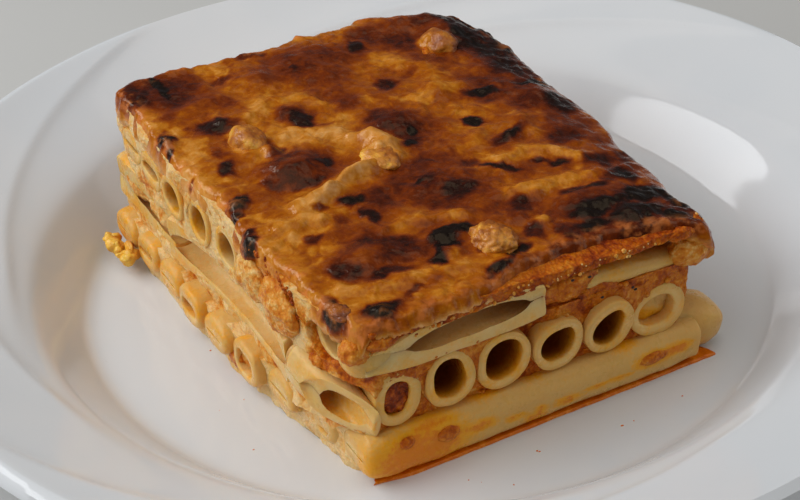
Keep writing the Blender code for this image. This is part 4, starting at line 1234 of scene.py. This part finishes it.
# Redder places of the sauce on the left face: y, z, half sizes, turn and strength.
LEFT_MEAT = [
    (49, 4, 6.0, 5.0, 0, 0.62), (13, 21, 4.0, 7.0, -20, 0.60), (28, 33, 9.0, 5.5, 0, 0.62),
    (61, 11, 5.0, 3.0, 0, 0.45), (92, 27, 6.0, 4.0, 0, 0.45), (76, 12, 5.0, 3.0, 0, 0.45),
    (12, 7, 3.0, 5.0, 0, 0.40), (46, 27, 5.0, 2.0, 0, 0.4), (102, 14, 6.0, 4.0, 0, 0.45),
    (36, 12, 5.0, 3.0, 0, 0.45), (68, 34, 5.0, 2.5, 0, 0.35), (102, 34, 5.0, 4.0, 0, 0.40),
    (23, 5, 3.0, 3.0, 0, 0.35),
]
# Painted shade in front-face hollows, as (x, z), and meaty places that no cheese ran into, as (y, z).
FRONT_HOLLOW_SHADE = [(36.8, 27.4, 3.6, 2.0, 4, 1.0), (9, 27.0, 2.0, 1.2, 0, 0.5)]
LEAN_MEAT = [(29, 34, 7, 5, 0, 1.0), (8, 26, 5, 3, 0, 0.6)]


def sauce_deep(points):
    """How much darker and redder the sauce is: painted shade in hollows of the front face and high on it
    under the crust, and redder meat on the left face.
    """
    x, y, z = points.T
    near_left = 1.0 - fade(x, -6.0, 4.0)
    # Painted shade: darker, redder sauce in the front face's hollows.
    spots = marks(x, z, FRONT_HOLLOW_SHADE, 0.4)
    redder = marks(y, z, LEFT_MEAT) * near_left
    # Painted shade high on the front face, under the crust.
    front = 0.12 * (1.0 - fade(y, 4.0, 8.0)) * fade(z, 30.0, 33.0)
    speckle = 0.28 * near_left * fade(rumple(points, 2.6, 3, 44.0), 0.10, 0.30)
    return spots * (y < 6.0) + redder + front + speckle


def sauce_cream(points):
    """How pale the sauce is where cheese ran in: towards the left face, and most of all low on it."""
    x, y, z = points.T
    left = 1.0 - fade(x, -8.0, 0.5)
    left = np.maximum(left, 0.85 * (1.0 - fade(x, -3.0, 6.0)) * (1.0 - fade(z, 10.0, 14.0)))
    low = 0.28 * (1.0 - fade(z, 9.0, 14.0))
    pale = left * (0.92 + low - 0.8 * marks(y, z, LEAN_MEAT))
    return np.clip(0.12 + pale + 0.36 * rumple(points, 6.0, 2, 31.0), 0.0, 1.2)


SAUCE_PAINT = {"deep": sauce_deep, "cream": sauce_cream}


def daub(heap, centre, half, seed, grain=0.14, **paint):
    """A smeared lump of sauce on a cut face."""
    points, faces = ball(4)
    shape = points * np.array(half)
    rise = 0.18 * float(np.mean(half)) * rumple(shape, 4.0, 2, seed)
    rise += grain * (pebbles(shape, 1.4, seed) - 0.5)
    heap.add(np.array(centre) + shape + points * rise[:, None], faces, **paint)


# Lumps of sauce on the front of the top layer: centre, half sizes, and how creamy.
FRONT_DAUBS = [
    (46.0, 2.2, 31.2, 7.8, 2.4, 3.9, 0.15), (76.4, 2.2, 28.9, 5.4, 3.2, 3.5, 0.45),
    (2.6, 0.8, 35.0, 4.0, 2.0, 1.7, 0.1), (73.2, 0.6, 34.6, 3.4, 1.2, 1.6, 0.0),
    (-2.0, 2.4, 33.6, 3.6, 3.0, 2.8, 0.35), (51.0, 2.2, 27.6, 9.5, 1.8, 2.1, 0.0),
    (66.0, 2.4, 25.6, 8.0, 1.6, 1.6, 0.05),
]
# The same on the left face.
LEFT_DAUBS = [
    (-6.6, 26.5, 31.0, 2.6, 7.6, 5.6, 0.50), (-7.4, 38.0, 31.6, 2.2, 6.4, 5.0, 0.65),
    (-6.6, 88.0, 20.4, 2.2, 8.0, 3.6, 0.80), (-6.6, 102.0, 20.6, 2.2, 7.0, 3.8, 0.70),
    (-5.6, 50.0, 4.0, 3.6, 5.0, 3.8, 0.30), (-3.6, 15.0, 24.4, 2.2, 4.6, 2.6, 0.25),
]


def sunk_face(tubes, sign):
    """Top (sign 1) or underside (-1) of a layer of tubes, a little inside them."""
    return lambda x, y: layer_face(tubes, x, y, sign) - sign * SUNK


def all_middle_tubes():
    return middle_tubes() + [tube for tube, _ in middle_gutters()]


def build_lower_sauce(finish, step):
    """Sauce between the bottom and middle tubes, and the torn skirt of it low on the left face."""
    heap = Heap()
    line = outline(MIDDLE_LEFT, MIDDLE_RIGHT, level(1.7), MIDDLE_BACK, step)
    wall = slab(heap, line, sunk_face(bottom_tubes(), 1), sunk_face(all_middle_tubes(), -1),
                sauce_grain(0.35), paint=SAUCE_PAINT)
    crumbs(heap, wall, lambda x, y: x > 0.0, 60, (0.25, 0.6), 5, deep=0.0, cream=0.3)
    skirt = outline(SKIRT_LEFT, SKIRT_RIGHT, level(2.6), SKIRT_BACK, step)
    slab(heap, skirt, level(0.05), lambda x, y: 10.6 + 0.6 * rumple(flat(x, y), 5.0, 2, 3.0),
         sauce_grain(-1.4, 0.0), rows=12, paint=SAUCE_PAINT)
    for x, z, long, high, power in FRONT_SMEARS:
        if power > THICK_SMEAR:
            daub(heap, (x, -1.2, z), (long * 0.8, 0.9, high * 0.8), x, deep=0.05, cream=0.15)
    heap.piece("lower_sauce", finish, "meat_sauce", ["meat_sauce_lower"], 80)


def build_middle_sauce(finish, step, top):
    """Sauce between the middle and top tubes, and what was pressed into two of the middle ones."""
    def hollow_front(x):
        """The front edge, which draws back under the opened top tube's end."""
        return 0.5 + 2.2 * np.exp(-((x - 37.0) / 3.4) ** 4)

    heap = Heap()
    right = [(y, x + 1.2) for y, x in MIDDLE_RIGHT]
    line = outline(UPPER_MIDDLE_LEFT, right, hollow_front, MIDDLE_BACK, step)
    wall = slab(heap, line, sunk_face(all_middle_tubes(), 1), sunk_face(top, -1), sauce_grain(0.1),
                paint=SAUCE_PAINT)
    crumbs(heap, wall, lambda x, y: x > -2.0, 90, (0.25, 0.65), 7, deep=0.0, cream=0.3)
    first, last = middle_tubes()[0], middle_tubes()[-1]
    heap.add(*plug(first, 0.3), deep=0.34, cream=0.0)
    heap.add(*plug(last, 8.0), deep=0.0, cream=0.4)
    heap.piece("middle_sauce", finish, "meat_sauce",
               ["meat_sauce_middle", "tube_filling_1", "tube_filling_2"], 80)


def build_upper_sauce(finish, step, top):
    """Sauce between the top tubes and the crust, with the lumps that hang on both cut faces."""
    def under_crust(x, y):
        sag = 0.7 * (1.0 - fade(y, 0.0, 5.0)) * fade(x, 30.0, 42.0) * (1.0 - fade(x, 62.0, 70.0))
        return crust_height(x, y) - 1.6 - sag

    def lean_back(points):
        x, y, z = points.T
        return 1.2 * fade(z, 33.5, 39.0) * fade(x, 26.0, 42.0) * (y < 8.0)

    heap = Heap()
    line = outline(TOP_LEFT, TOP_RIGHT, level(0.2), TOP_BACK, step)
    wall = slab(heap, line, sunk_face(top, 1), under_crust, sauce_grain(-0.1), lean_back,
                paint=SAUCE_PAINT)
    crumbs(heap, wall, lambda x, y: x > 6.0, 110, (0.2, 0.5), 9, deep=0.0, cream=0.5)
    crumbs(heap, wall, lambda x, y: x > 34.0, 90, (0.10, 0.24), 11, deep=0.0, cream=1.0)
    crumbs(heap, wall, lambda x, y: (x < 0.0) & (np.abs(y - 29.0) < 9.0), 90, (0.3, 0.7), 19,
           deep=0.25, cream=0.1)
    for x, y, z, half_x, half_y, half_z, cream in FRONT_DAUBS:
        daub(heap, (x, y, z), (half_x, half_y, half_z), x + z, 0.6 - 0.5 * cream, deep=0.0, cream=cream)
    for x, y, z, half_x, half_y, half_z, cream in LEFT_DAUBS:
        daub(heap, (x, y, z), (half_x, half_y, half_z), y + z, 0.8 - 0.5 * cream, deep=0.1, cream=cream)
    heap.piece("upper_sauce", finish, "meat_sauce", ["meat_sauce_top"], 80)


def build_sauces(look):
    finish, step = meat_sauce(), look.step / MM
    open_tube, small = front_top_tubes()
    top = top_tubes() + [small, open_tube]
    build_lower_sauce(finish, step)
    build_middle_sauce(finish, step, top)
    build_upper_sauce(finish, step, top)


def build_oil_film(look):
    """The oil that ran out under the front edge and set there as a thin bright line."""
    def front(x):
        return 0.7 - 1.4 * fade(x, -1.0, 8.0)

    def wavy(points):
        rise = np.clip(points[:, 2] / FILM_TOP, 0.0, 1.0)
        return 0.18 * rumple(points, 8.0, 2, 4.0) + 0.08 * rumple(points, 2.5, 1, 6.0) - 0.55 * rise ** 3

    heap = Heap()
    line = outline(FILM_LEFT, FILM_RIGHT, front, MIDDLE_BACK, look.step / MM)
    slab(heap, line, level(FILM_FOOT), level(FILM_TOP), wavy, rows=7)
    heap.piece("oil_film", orange_oil(), "oil_film", ["base_sauce"], 80)


# ---------------------------------------------------------------- crust, lumps and fringe

EDGE_ROLL = 2.2                # radius of the crust's rounded sides
CRUST_DEPTH = 2.5
CRUST_ROWS = 8                 # rings of points down its sides
GRID_HALVES = (46.0, 57.0)     # half the width and depth that the grid of points is laid out for


def stitched(fine, coarse):
    """Triangles between a closed ring of points and one with half as many."""
    faces = []
    for k in range(len(coarse)):
        first, second, third = (fine[(2 * k + step) % len(fine)] for step in range(3))
        near, far = coarse[k], coarse[(k + 1) % len(coarse)]
        faces += [[first, second, near], [second, far, near], [second, third, far]]
    return faces


def rim_ids(rows, columns):
    """Numbers of a grid's border points, in order: front, right, back and left."""
    front = list(range(columns - 1))
    right = [row * columns + columns - 1 for row in range(rows - 1)]
    back = [(rows - 1) * columns + column for column in range(columns - 1, 0, -1)]
    left = [row * columns for row in range(rows - 1, 0, -1)]
    return np.array(front + right + back + left)


def near_corner(points, start, end):
    """1 near the slice's front left corner, and 0 further than end from it."""
    return (1.0 - fade(points[:, 0], start, end)) * (1.0 - fade(points[:, 1], start, end))


def at_droop(points):
    """1 where the crust hangs down at the front right."""
    return fade(points[:, 0], 71.0, 79.0) * (1.0 - fade(points[:, 1], 4.0, 16.0))


def past_left(points):
    """1 where the crust reaches past the left cut face."""
    return 1.0 - fade(points[:, 0], -6.0, 2.0)


def crust_top(rows, columns):
    """The crust's top face, row by row: its points, how browned each is with painted shade to the right,
    and how far from the edge.
    """
    across, back = np.meshgrid(np.linspace(0, 1, columns), np.linspace(0, 1, rows))
    across, back = across.ravel(), back.ravel()
    left, right = between(CRUST_LEFT, back * DEPTH), between(CRUST_RIGHT, back * DEPTH)
    x = left + (right - left) * across
    front, far = between(CRUST_FRONT, x), between(CRUST_BACK, x)
    y = front + (far - front) * back
    to_side = np.minimum(across, 1.0 - across) * (right - left)
    to_end = np.minimum(back, 1.0 - back) * (far - front)
    ground = flat(x, y)
    ragged = 0.8 * rumple(ground, 6.0, 2, 41.0) + 0.5 * rumple(ground, 2.0, 2, 44.0)
    x = x + np.where(across < 0.5, -1.0, 1.0) * ragged * (1.0 - fade(to_side, 0.0, 5.0))
    y = y + np.where(back < 0.5, -1.0, 1.0) * ragged * (1.0 - fade(to_end, 0.0, 5.0))
    heat_and_shade = heat_and_shade_of(x, y)
    z = crust_height(x, y) + crust_relief(x, y, ground, heat_and_shade)
    z = z - drawn_back(to_side, EDGE_ROLL) - drawn_back(to_end, EDGE_ROLL * 0.8)
    return np.stack([x, y, z], 1), heat_and_shade, np.minimum(to_side, to_end)


def crust_relief(x, y, ground, heat_and_shade):
    """Small ripples, wrinkles, blisters where the crust is burnt, and curds where it isn't."""
    relief = 0.50 * rumple(ground, 9.0, 2, 51.0) + 0.34 * rumple(ground, 4.0, 2, 54.0)
    relief += 0.05 * rumple(ground, 0.9, 2, 57.0)
    bent = 1.5 * rumple(ground, 6.0, 2, 58.0)
    relief += crests(x + bent, y - bent) * (1.0 + 0.3 * rumple(ground, 3.0, 2, 60.0))
    blistered = fade(heat_and_shade, 0.55, 0.85)
    relief += blistered * (0.36 * rumple(ground, 3.2, 2, 61.0) + 0.5 * (pebbles(ground, 3.4, 63.0) - 0.3))
    curd = fade(rumple(ground, 14.0, 2, 69.0), -0.1, 0.4) * (1.0 - blistered)
    return relief + curd * 0.75 * (pebbles(ground, 3.6, 67.0) - 0.4)


def crust_walls(edge, edge_heat_and_shade, out):
    """Rings of points down the crust's sides, with how browned (painted shade included) and how far down
    each point is.
    """
    thick = CRUST_DEPTH + 0.7 * rumple(edge, 10.0, 2, 71.0)
    thick = thick + 1.6 * at_droop(edge) + 0.7 * near_corner(edge, 2.0, 10.0)
    thick = thick + (3.2 + 1.5 * rumple(edge, 5.0, 2, 73.0)) * past_left(edge)
    walls, heats_and_shade, sides = [], [], []
    for row in range(1, CRUST_ROWS):
        share = row / (CRUST_ROWS - 1)
        ring = edge.copy()
        ring[:, 2] -= thick * share
        near_front = 1.0 - fade(ring[:, 1], 6.0, 10.0)
        lumps = 0.6 * rumple(ring, 3.4, 2, 81.0) + 0.5 * (pebbles(ring, 2.2, 83.0) - 0.5)
        stand = 0.6 * math.sin(math.pi * share) - 1.0 * share ** 3 + lumps * min(1.0, 3.0 * share)
        stand = stand + 0.7 * min(1.0, 2.0 * share) * (pebbles(ring, 1.3, 86.0) - 0.5) * near_front
        stand = stand * (1.0 + 0.5 * near_corner(ring, 4.0, 12.0))
        ring[:, :2] += out * stand[:, None]
        walls.append(ring)
        facing = fade(ring[:, 0], 26.0, 36.0) * (1.0 - fade(ring[:, 1], 6.0, 10.0))
        cream = 0.05 + 0.12 * rumple(ring, 3.0, 2, 91.0) + 0.16 * facing
        keep = 1.0 - float(fade(share, 0.0, 0.60))
        heats_and_shade.append(edge_heat_and_shade * keep + cream * (1.0 - keep))
        sides.append(np.full(len(edge), share))
    return walls, heats_and_shade, sides


def crust_under(top, rows, columns, last_wall, out):
    """The underside, with half as many rows and columns as the top, and the numbers of its rim."""
    kept = np.arange(len(top)).reshape(rows, columns)[::2, ::2]
    under = top[kept.ravel()].copy()
    under[:, 2] = crust_height(under[:, 0], under[:, 1]) - CRUST_DEPTH - 0.4
    under[:, 2] -= 1.4 * at_droop(under)
    under[:, 2] -= 3.0 * past_left(under)
    rim = rim_ids(*kept.shape)
    under[rim] = last_wall[::2]
    under[rim, :2] -= out[::2] * 0.7
    return under, rim, grid_faces(*kept.shape)


def build_crust(look):
    step = look.crust_step / MM
    columns, rows = (2 * int(half / step) + 1 for half in GRID_HALVES)
    top, heat_and_shade, nearest = crust_top(rows, columns)
    rim = rim_ids(rows, columns)
    edge = top[rim]
    out = outward_of(edge[:, :2])
    walls, wall_heat_and_shade, wall_side = crust_walls(edge, heat_and_shade[rim], out)
    under, under_rim, under_faces = crust_under(top, rows, columns, walls[-1], out)
    count = len(rim)
    first_under = len(top) + len(walls) * count
    rings = [rim] + [len(top) + k * count + np.arange(count) for k in range(len(walls))]
    faces = grid_faces(rows, columns).tolist()
    for upper, lower in zip(rings, rings[1:]):
        faces += np.stack([upper, lower, np.roll(lower, -1), np.roll(upper, -1)], 1).tolist()
    faces += [face[::-1] for face in stitched(rings[-1].tolist(), (first_under + under_rim).tolist())]
    faces += (under_faces + first_under)[:, ::-1].tolist()
    beside = 1.0 - fade(nearest, 0.5, 5.0) * 0.9 - 0.1
    painted = {"browning": np.concatenate([heat_and_shade, *wall_heat_and_shade, np.full(len(under), 0.15)]),
               "side": np.concatenate([beside, *wall_side, np.ones(len(under))])}
    mesh = mesh_of("crust", np.concatenate([top, *walls, under]), faces, painted)
    new_piece("browned_crust", mesh, browned_crust(look), ["bechamel_crust"], 80)


def crumbly_lump(heap, centre, half, seed, heat_and_shade, rough, subdivisions=5):
    """A lump of browned cheese: rounded, with broken grains over its surface."""
    points, faces = ball(subdivisions)
    shape = points * np.array(half) * (1.0 + 0.24 * rumple(points, 1.2, 2, seed))[:, None]
    grains = (pebbles(shape, 2.4, seed) - 0.5) + 0.5 * (pebbles(shape, 1.1, seed) - 0.5)
    placed = np.array(centre) + shape + points * (rough * grains)[:, None]
    # Painted shade: each lump is browner on its right side, away from the light.
    brown = heat_and_shade + 0.22 * rumple(placed, 2.6, 2, seed * 2.0) + 0.16 * fade(points[:, 0], -0.2, 0.8)
    heap.add(placed, faces, browning=np.clip(brown, 0.0, 1.0))


def build_lumps():
    heap = Heap()
    for index, (x, y, half_x, half_y, half_z, heat_and_shade, rough) in enumerate(LUMPS):
        height = float(crust_height(np.array(x), np.array(y))) + half_z * 0.05 - 0.5
        crumbly_lump(heap, (x, y, height), (half_x, half_y, half_z), 3.0 + index, heat_and_shade, rough)
    points, faces = ball(2)
    for x, y, z in HERBS:
        flake = points * HERB_HALF * (1.0 + 0.2 * rumple(points, 0.8, 1, x))[:, None]
        heap.add(np.array((x, y, z)) + flake, faces, browning=1.0)
    heap.piece("cheese_lumps", browned_cheese(), "browned_cheese", nodes_of("cheese_lump"), 80)


FRINGE_LUMPS = 16


def build_fringe():
    """Melted cheese that spilled on the plate behind the left side."""
    low, high = local_box("cheese_fringe")
    middle, half = (low + high) / 2, (high - low) / 2
    heap = Heap()
    rng = random.Random(12)
    for index in range(FRINGE_LUMPS):
        along = (index / (FRINGE_LUMPS - 1.0) - 0.5) * 1.7
        centre = middle + half * (rng.uniform(-0.3, 0.5), along, rng.uniform(-0.35, 0.25))
        size = [rng.uniform(1.0, 2.2), rng.uniform(1.1, 2.3), rng.uniform(0.9, 2.0)]
        centre[2] = max(centre[2], size[2] * 1.25)
        crumbly_lump(heap, centre, size, 20.0 + index, 0.0, 0.25, 4)
    heap.piece("cheese_fringe_bits", browned_cheese(), "browned_cheese", ["cheese_fringe"], 80)


FRONT_SPECKS = 0.7             # share of the specks that lie in front of the slice, not beside it


def build_specks(look):
    """Drops of orange oil that lie on the plate round the slice."""
    rng = random.Random(31)
    heap = Heap()
    points, faces = ball(2)
    for _ in range(look.specks):
        if rng.random() < FRONT_SPECKS:
            x, y = rng.uniform(8.0, 84.0), -rng.uniform(2.5, 16.0)
        else:
            x, y = rng.uniform(-19.0, -10.0), rng.uniform(2.0, 60.0)
        size = rng.uniform(0.08, 0.26)
        shape = points * (size * rng.uniform(0.8, 1.6), size, size * 0.4)
        heap.add(shape + (x, y, size * 0.25), faces)
    heap.piece("oil_specks", orange_oil(), "oil_film", (), 80)


# ---------------------------------------------------------------- stage

CAMERA_PLACE = (-163.947, -302.361, 247.054)       # millimetres from the middle of the plate's foot
CAMERA_TURN = (56.0266, 2.2267, -29.0297)          # degrees
AIM = Vector((0.0, 0.0, 0.02))                     # the middle of the slice, which every light faces
TABLE_HALF = 2.5
TABLE_GAP = 0.0002                                 # keeps the table top just clear of the plate's foot


def from_side(turn, rise, far):
    """Place at a turn and a rise in degrees, and at a distance from the plate."""
    turn, rise = math.radians(turn), math.radians(rise)
    return Vector((math.cos(turn) * math.cos(rise), math.sin(turn) * math.cos(rise), math.sin(rise))) * far


def add_light(name, place, size, power, colour):
    data = bpy.data.lights.new(name, "AREA")
    data.shape = "RECTANGLE"
    data.size, data.size_y = size
    data.energy = power
    data.color = colour
    light = bpy.data.objects.new(name, data)
    light.location = place
    light.rotation_euler = (AIM - light.location).to_track_quat("-Z", "Y").to_euler()
    bpy.context.scene.collection.objects.link(light)


def build_stage(look):
    mesh = bpy.data.meshes.new("table_top")
    corners = ((-1, -1), (1, -1), (1, 1), (-1, 1))
    mesh.from_pydata([(x * TABLE_HALF, y * TABLE_HALF, -TABLE_GAP) for x, y in corners], [], [(0, 1, 2, 3)])
    floor = bpy.data.objects.new("table_top", mesh)
    bpy.context.scene.collection.objects.link(floor)
    kit = Finish("pale_table", Roughness=0.6)
    darker = tuple(value * 0.94 for value in look.table)
    mesh.materials.append(kit.finish(kit.mix(kit.noise(120.0, 3.0), tuple(look.table), darker)))
    add_light("window", from_side(143.0, 42.0, 1.2), (1.30, 0.44), look.window, (0.94, 0.97, 1.0))
    add_light("ceiling", Vector((0.0, 0.0, 1.8)), (2.0, 2.0), look.ceiling, (1.0, 0.93, 0.84))
    add_light("room", from_side(-20.0, 30.0, 1.8), (1.4, 1.2), look.room, (0.96, 0.98, 1.0))
    add_light("left", from_side(185.0, 28.0, 1.6), (1.6, 1.4), look.left, (0.97, 0.98, 1.0))
    world = bpy.data.worlds.new("soft_room")
    world.use_nodes = True
    sky = world.node_tree.nodes["Background"]
    sky.inputs["Color"].default_value = (0.90, 0.95, 1.0, 1.0)
    sky.inputs["Strength"].default_value = look.ambient
    bpy.context.scene.world = world
    bpy.context.scene.view_settings.view_transform = "Standard"
    data = bpy.data.cameras.new("camera")
    data.lens = look.lens
    data.sensor_width = 36.0
    data.clip_start = 0.01
    camera = bpy.data.objects.new("camera", data)
    camera.location = [value * MM for value in CAMERA_PLACE]
    camera.rotation_euler = [math.radians(value) for value in CAMERA_TURN]
    bpy.context.scene.collection.objects.link(camera)
    bpy.context.scene.camera = camera


# ---------------------------------------------------------------- settings, operators and panel

def colour_property(name, description, shade):
    return FloatVectorProperty(name=name, description=description, default=linear(shade), size=3,
                               subtype="COLOR", min=0.0, max=1.0)


class PlateLook(PropertyGroup):
    """Size of the plate's mesh and relief, and its glaze"""
    steps: IntProperty(name="Steps", description="Points round the plate", default=320, min=64)
    ridge: FloatProperty(name="Ridge", description="Height of the soft ridges on the rim", default=0.0007,
                         unit="LENGTH")
    gloss: FloatProperty(name="Roughness", description="Roughness of the glaze", default=0.09,
                         subtype="FACTOR")
    glaze: colour_property("Glaze", "Colour of the glaze", (226, 228, 230))
    glaze_shade: colour_property("Glaze shade", "Colour of the glaze where it is thicker", (218, 222, 226))


class PastaLook(PropertyGroup):
    """Colours and gloss of the boiled tubes"""
    pasta: colour_property("Pasta", "Colour of the boiled tubes", (233, 197, 132))
    pasta_shade: colour_property("Pasta shade", "Colour of their more yellow places", (228, 180, 100))
    skin: colour_property("Skin", "Colour of the soaked outer skin", (220, 172, 94))
    stain: colour_property("Stain", "Colour of the oil on the tubes", (240, 164, 8))
    crumb: colour_property("Crumb", "Colour of the sauce spots", (226, 120, 8))
    # The hollow colour is the painted shade deep inside the tubes.
    deep: colour_property("Hollow", "Colour deep inside the tubes", (140, 66, 8))
    pasta_gloss: FloatProperty(name="Roughness", description="Roughness of the wet pasta", default=0.30,
                               subtype="FACTOR")


class SauceLook(PropertyGroup):
    """Fineness of the sauce's walls, and the drops beside it"""
    step: FloatProperty(name="Step", description="Distance of the points along a wall", default=0.0004,
                        unit="LENGTH")
    specks: IntProperty(name="Specks", description="Drops on the plate", default=18)


class CrustLook(PropertyGroup):
    """Fineness and gloss of the crust"""
    crust_step: FloatProperty(name="Step", description="Distance of the points on the crust",
                              default=0.00048, unit="LENGTH")
    crust_gloss: FloatProperty(name="Roughness", description="Roughness of the golden crust", default=0.16,
                               subtype="FACTOR")


class StageLook(PropertyGroup):
    """Table, lights and lens"""
    table: colour_property("Table", "Colour of the table top", (202, 201, 198))
    window: FloatProperty(name="Window", description="Power of the window's light", default=9.1,
                          unit="POWER")
    ceiling: FloatProperty(name="Ceiling", description="Power of the soft light overhead", default=10.0,
                           unit="POWER")
    room: FloatProperty(name="Room", description="Power of the light from the room", default=5.0,
                        unit="POWER")
    left: FloatProperty(name="Left", description="Power of the soft light from the left", default=5.5,
                        unit="POWER")
    ambient: FloatProperty(name="Ambient", description="Strength of the light all round", default=0.11)
    lens: FloatProperty(name="Lens", description="Focal length of the camera in millimetres", default=81.0)


class BakedPasta(PropertyGroup):
    """All settings of the dish"""
    plate: PointerProperty(type=PlateLook)
    pasta: PointerProperty(type=PastaLook)
    sauce: PointerProperty(type=SauceLook)
    crust: PointerProperty(type=CrustLook)
    stage: PointerProperty(type=StageLook)


class PASTA_OT_stage(Operator):
    """Table, soft lights and camera"""
    bl_idname = "pasta.stage"
    bl_label = "Stage"

    def execute(self, context):
        build_stage(context.scene.baked_pasta.stage)
        return {"FINISHED"}


class PASTA_OT_plate(Operator):
    """Turned dinner plate with a pinwheel of soft ridges on its rim"""
    bl_idname = "pasta.plate"
    bl_label = "Plate"

    def execute(self, context):
        build_plate(context.scene.baked_pasta.plate)
        return {"FINISHED"}


class PASTA_OT_oil_film(Operator):
    """Orange oil under the slice"""
    bl_idname = "pasta.oil_film"
    bl_label = "Oil Film"

    def execute(self, context):
        build_oil_film(context.scene.baked_pasta.sauce)
        return {"FINISHED"}


class PASTA_OT_tubes(Operator):
    """Three crossed layers of pasta tubes"""
    bl_idname = "pasta.tubes"
    bl_label = "Pasta Tubes"

    def execute(self, context):
        look = context.scene.baked_pasta.pasta
        build_bottom_tubes(look)
        build_middle_tubes(look)
        build_top_tubes(look)
        return {"FINISHED"}


class PASTA_OT_sauces(Operator):
    """Meat sauce between the layers"""
    bl_idname = "pasta.sauces"
    bl_label = "Meat Sauce"

    def execute(self, context):
        build_sauces(context.scene.baked_pasta.sauce)
        return {"FINISHED"}


class PASTA_OT_crust(Operator):
    """Browned bechamel crust"""
    bl_idname = "pasta.crust"
    bl_label = "Crust"

    def execute(self, context):
        build_crust(context.scene.baked_pasta.crust)
        return {"FINISHED"}


class PASTA_OT_lumps(Operator):
    """Lumps of browned cheese, and the cheese that spilled on the plate"""
    bl_idname = "pasta.lumps"
    bl_label = "Cheese Lumps"

    def execute(self, context):
        build_lumps()
        build_fringe()
        return {"FINISHED"}


class PASTA_OT_specks(Operator):
    """Drops of oil on the plate"""
    bl_idname = "pasta.specks"
    bl_label = "Oil Specks"

    def execute(self, context):
        build_specks(context.scene.baked_pasta.sauce)
        return {"FINISHED"}


STEPS = (PASTA_OT_stage, PASTA_OT_plate, PASTA_OT_oil_film, PASTA_OT_tubes, PASTA_OT_sauces,
         PASTA_OT_crust, PASTA_OT_lumps, PASTA_OT_specks)


class PASTA_PT_panel(Panel):
    """Buttons for the pieces, in the order in which they are made"""
    bl_idname = "PASTA_PT_panel"
    bl_label = "Baked Pasta"
    bl_space_type = "VIEW_3D"
    bl_region_type = "UI"
    bl_category = "Baked Pasta"

    def draw(self, context):
        for step in STEPS:
            self.layout.operator(step.bl_idname)


CLASSES = (PlateLook, PastaLook, SauceLook, CrustLook, StageLook, BakedPasta, *STEPS, PASTA_PT_panel)


def register():
    for cls in CLASSES:
        bpy.utils.register_class(cls)
    bpy.types.Scene.baked_pasta = PointerProperty(type=BakedPasta)


def unregister():
    del bpy.types.Scene.baked_pasta
    for cls in reversed(CLASSES):
        bpy.utils.unregister_class(cls)


def main():
    register()
    for step in STEPS:
        group, name = step.bl_idname.split(".")
        getattr(getattr(bpy.ops, group), name)()


if __name__ == "__main__":
    main()
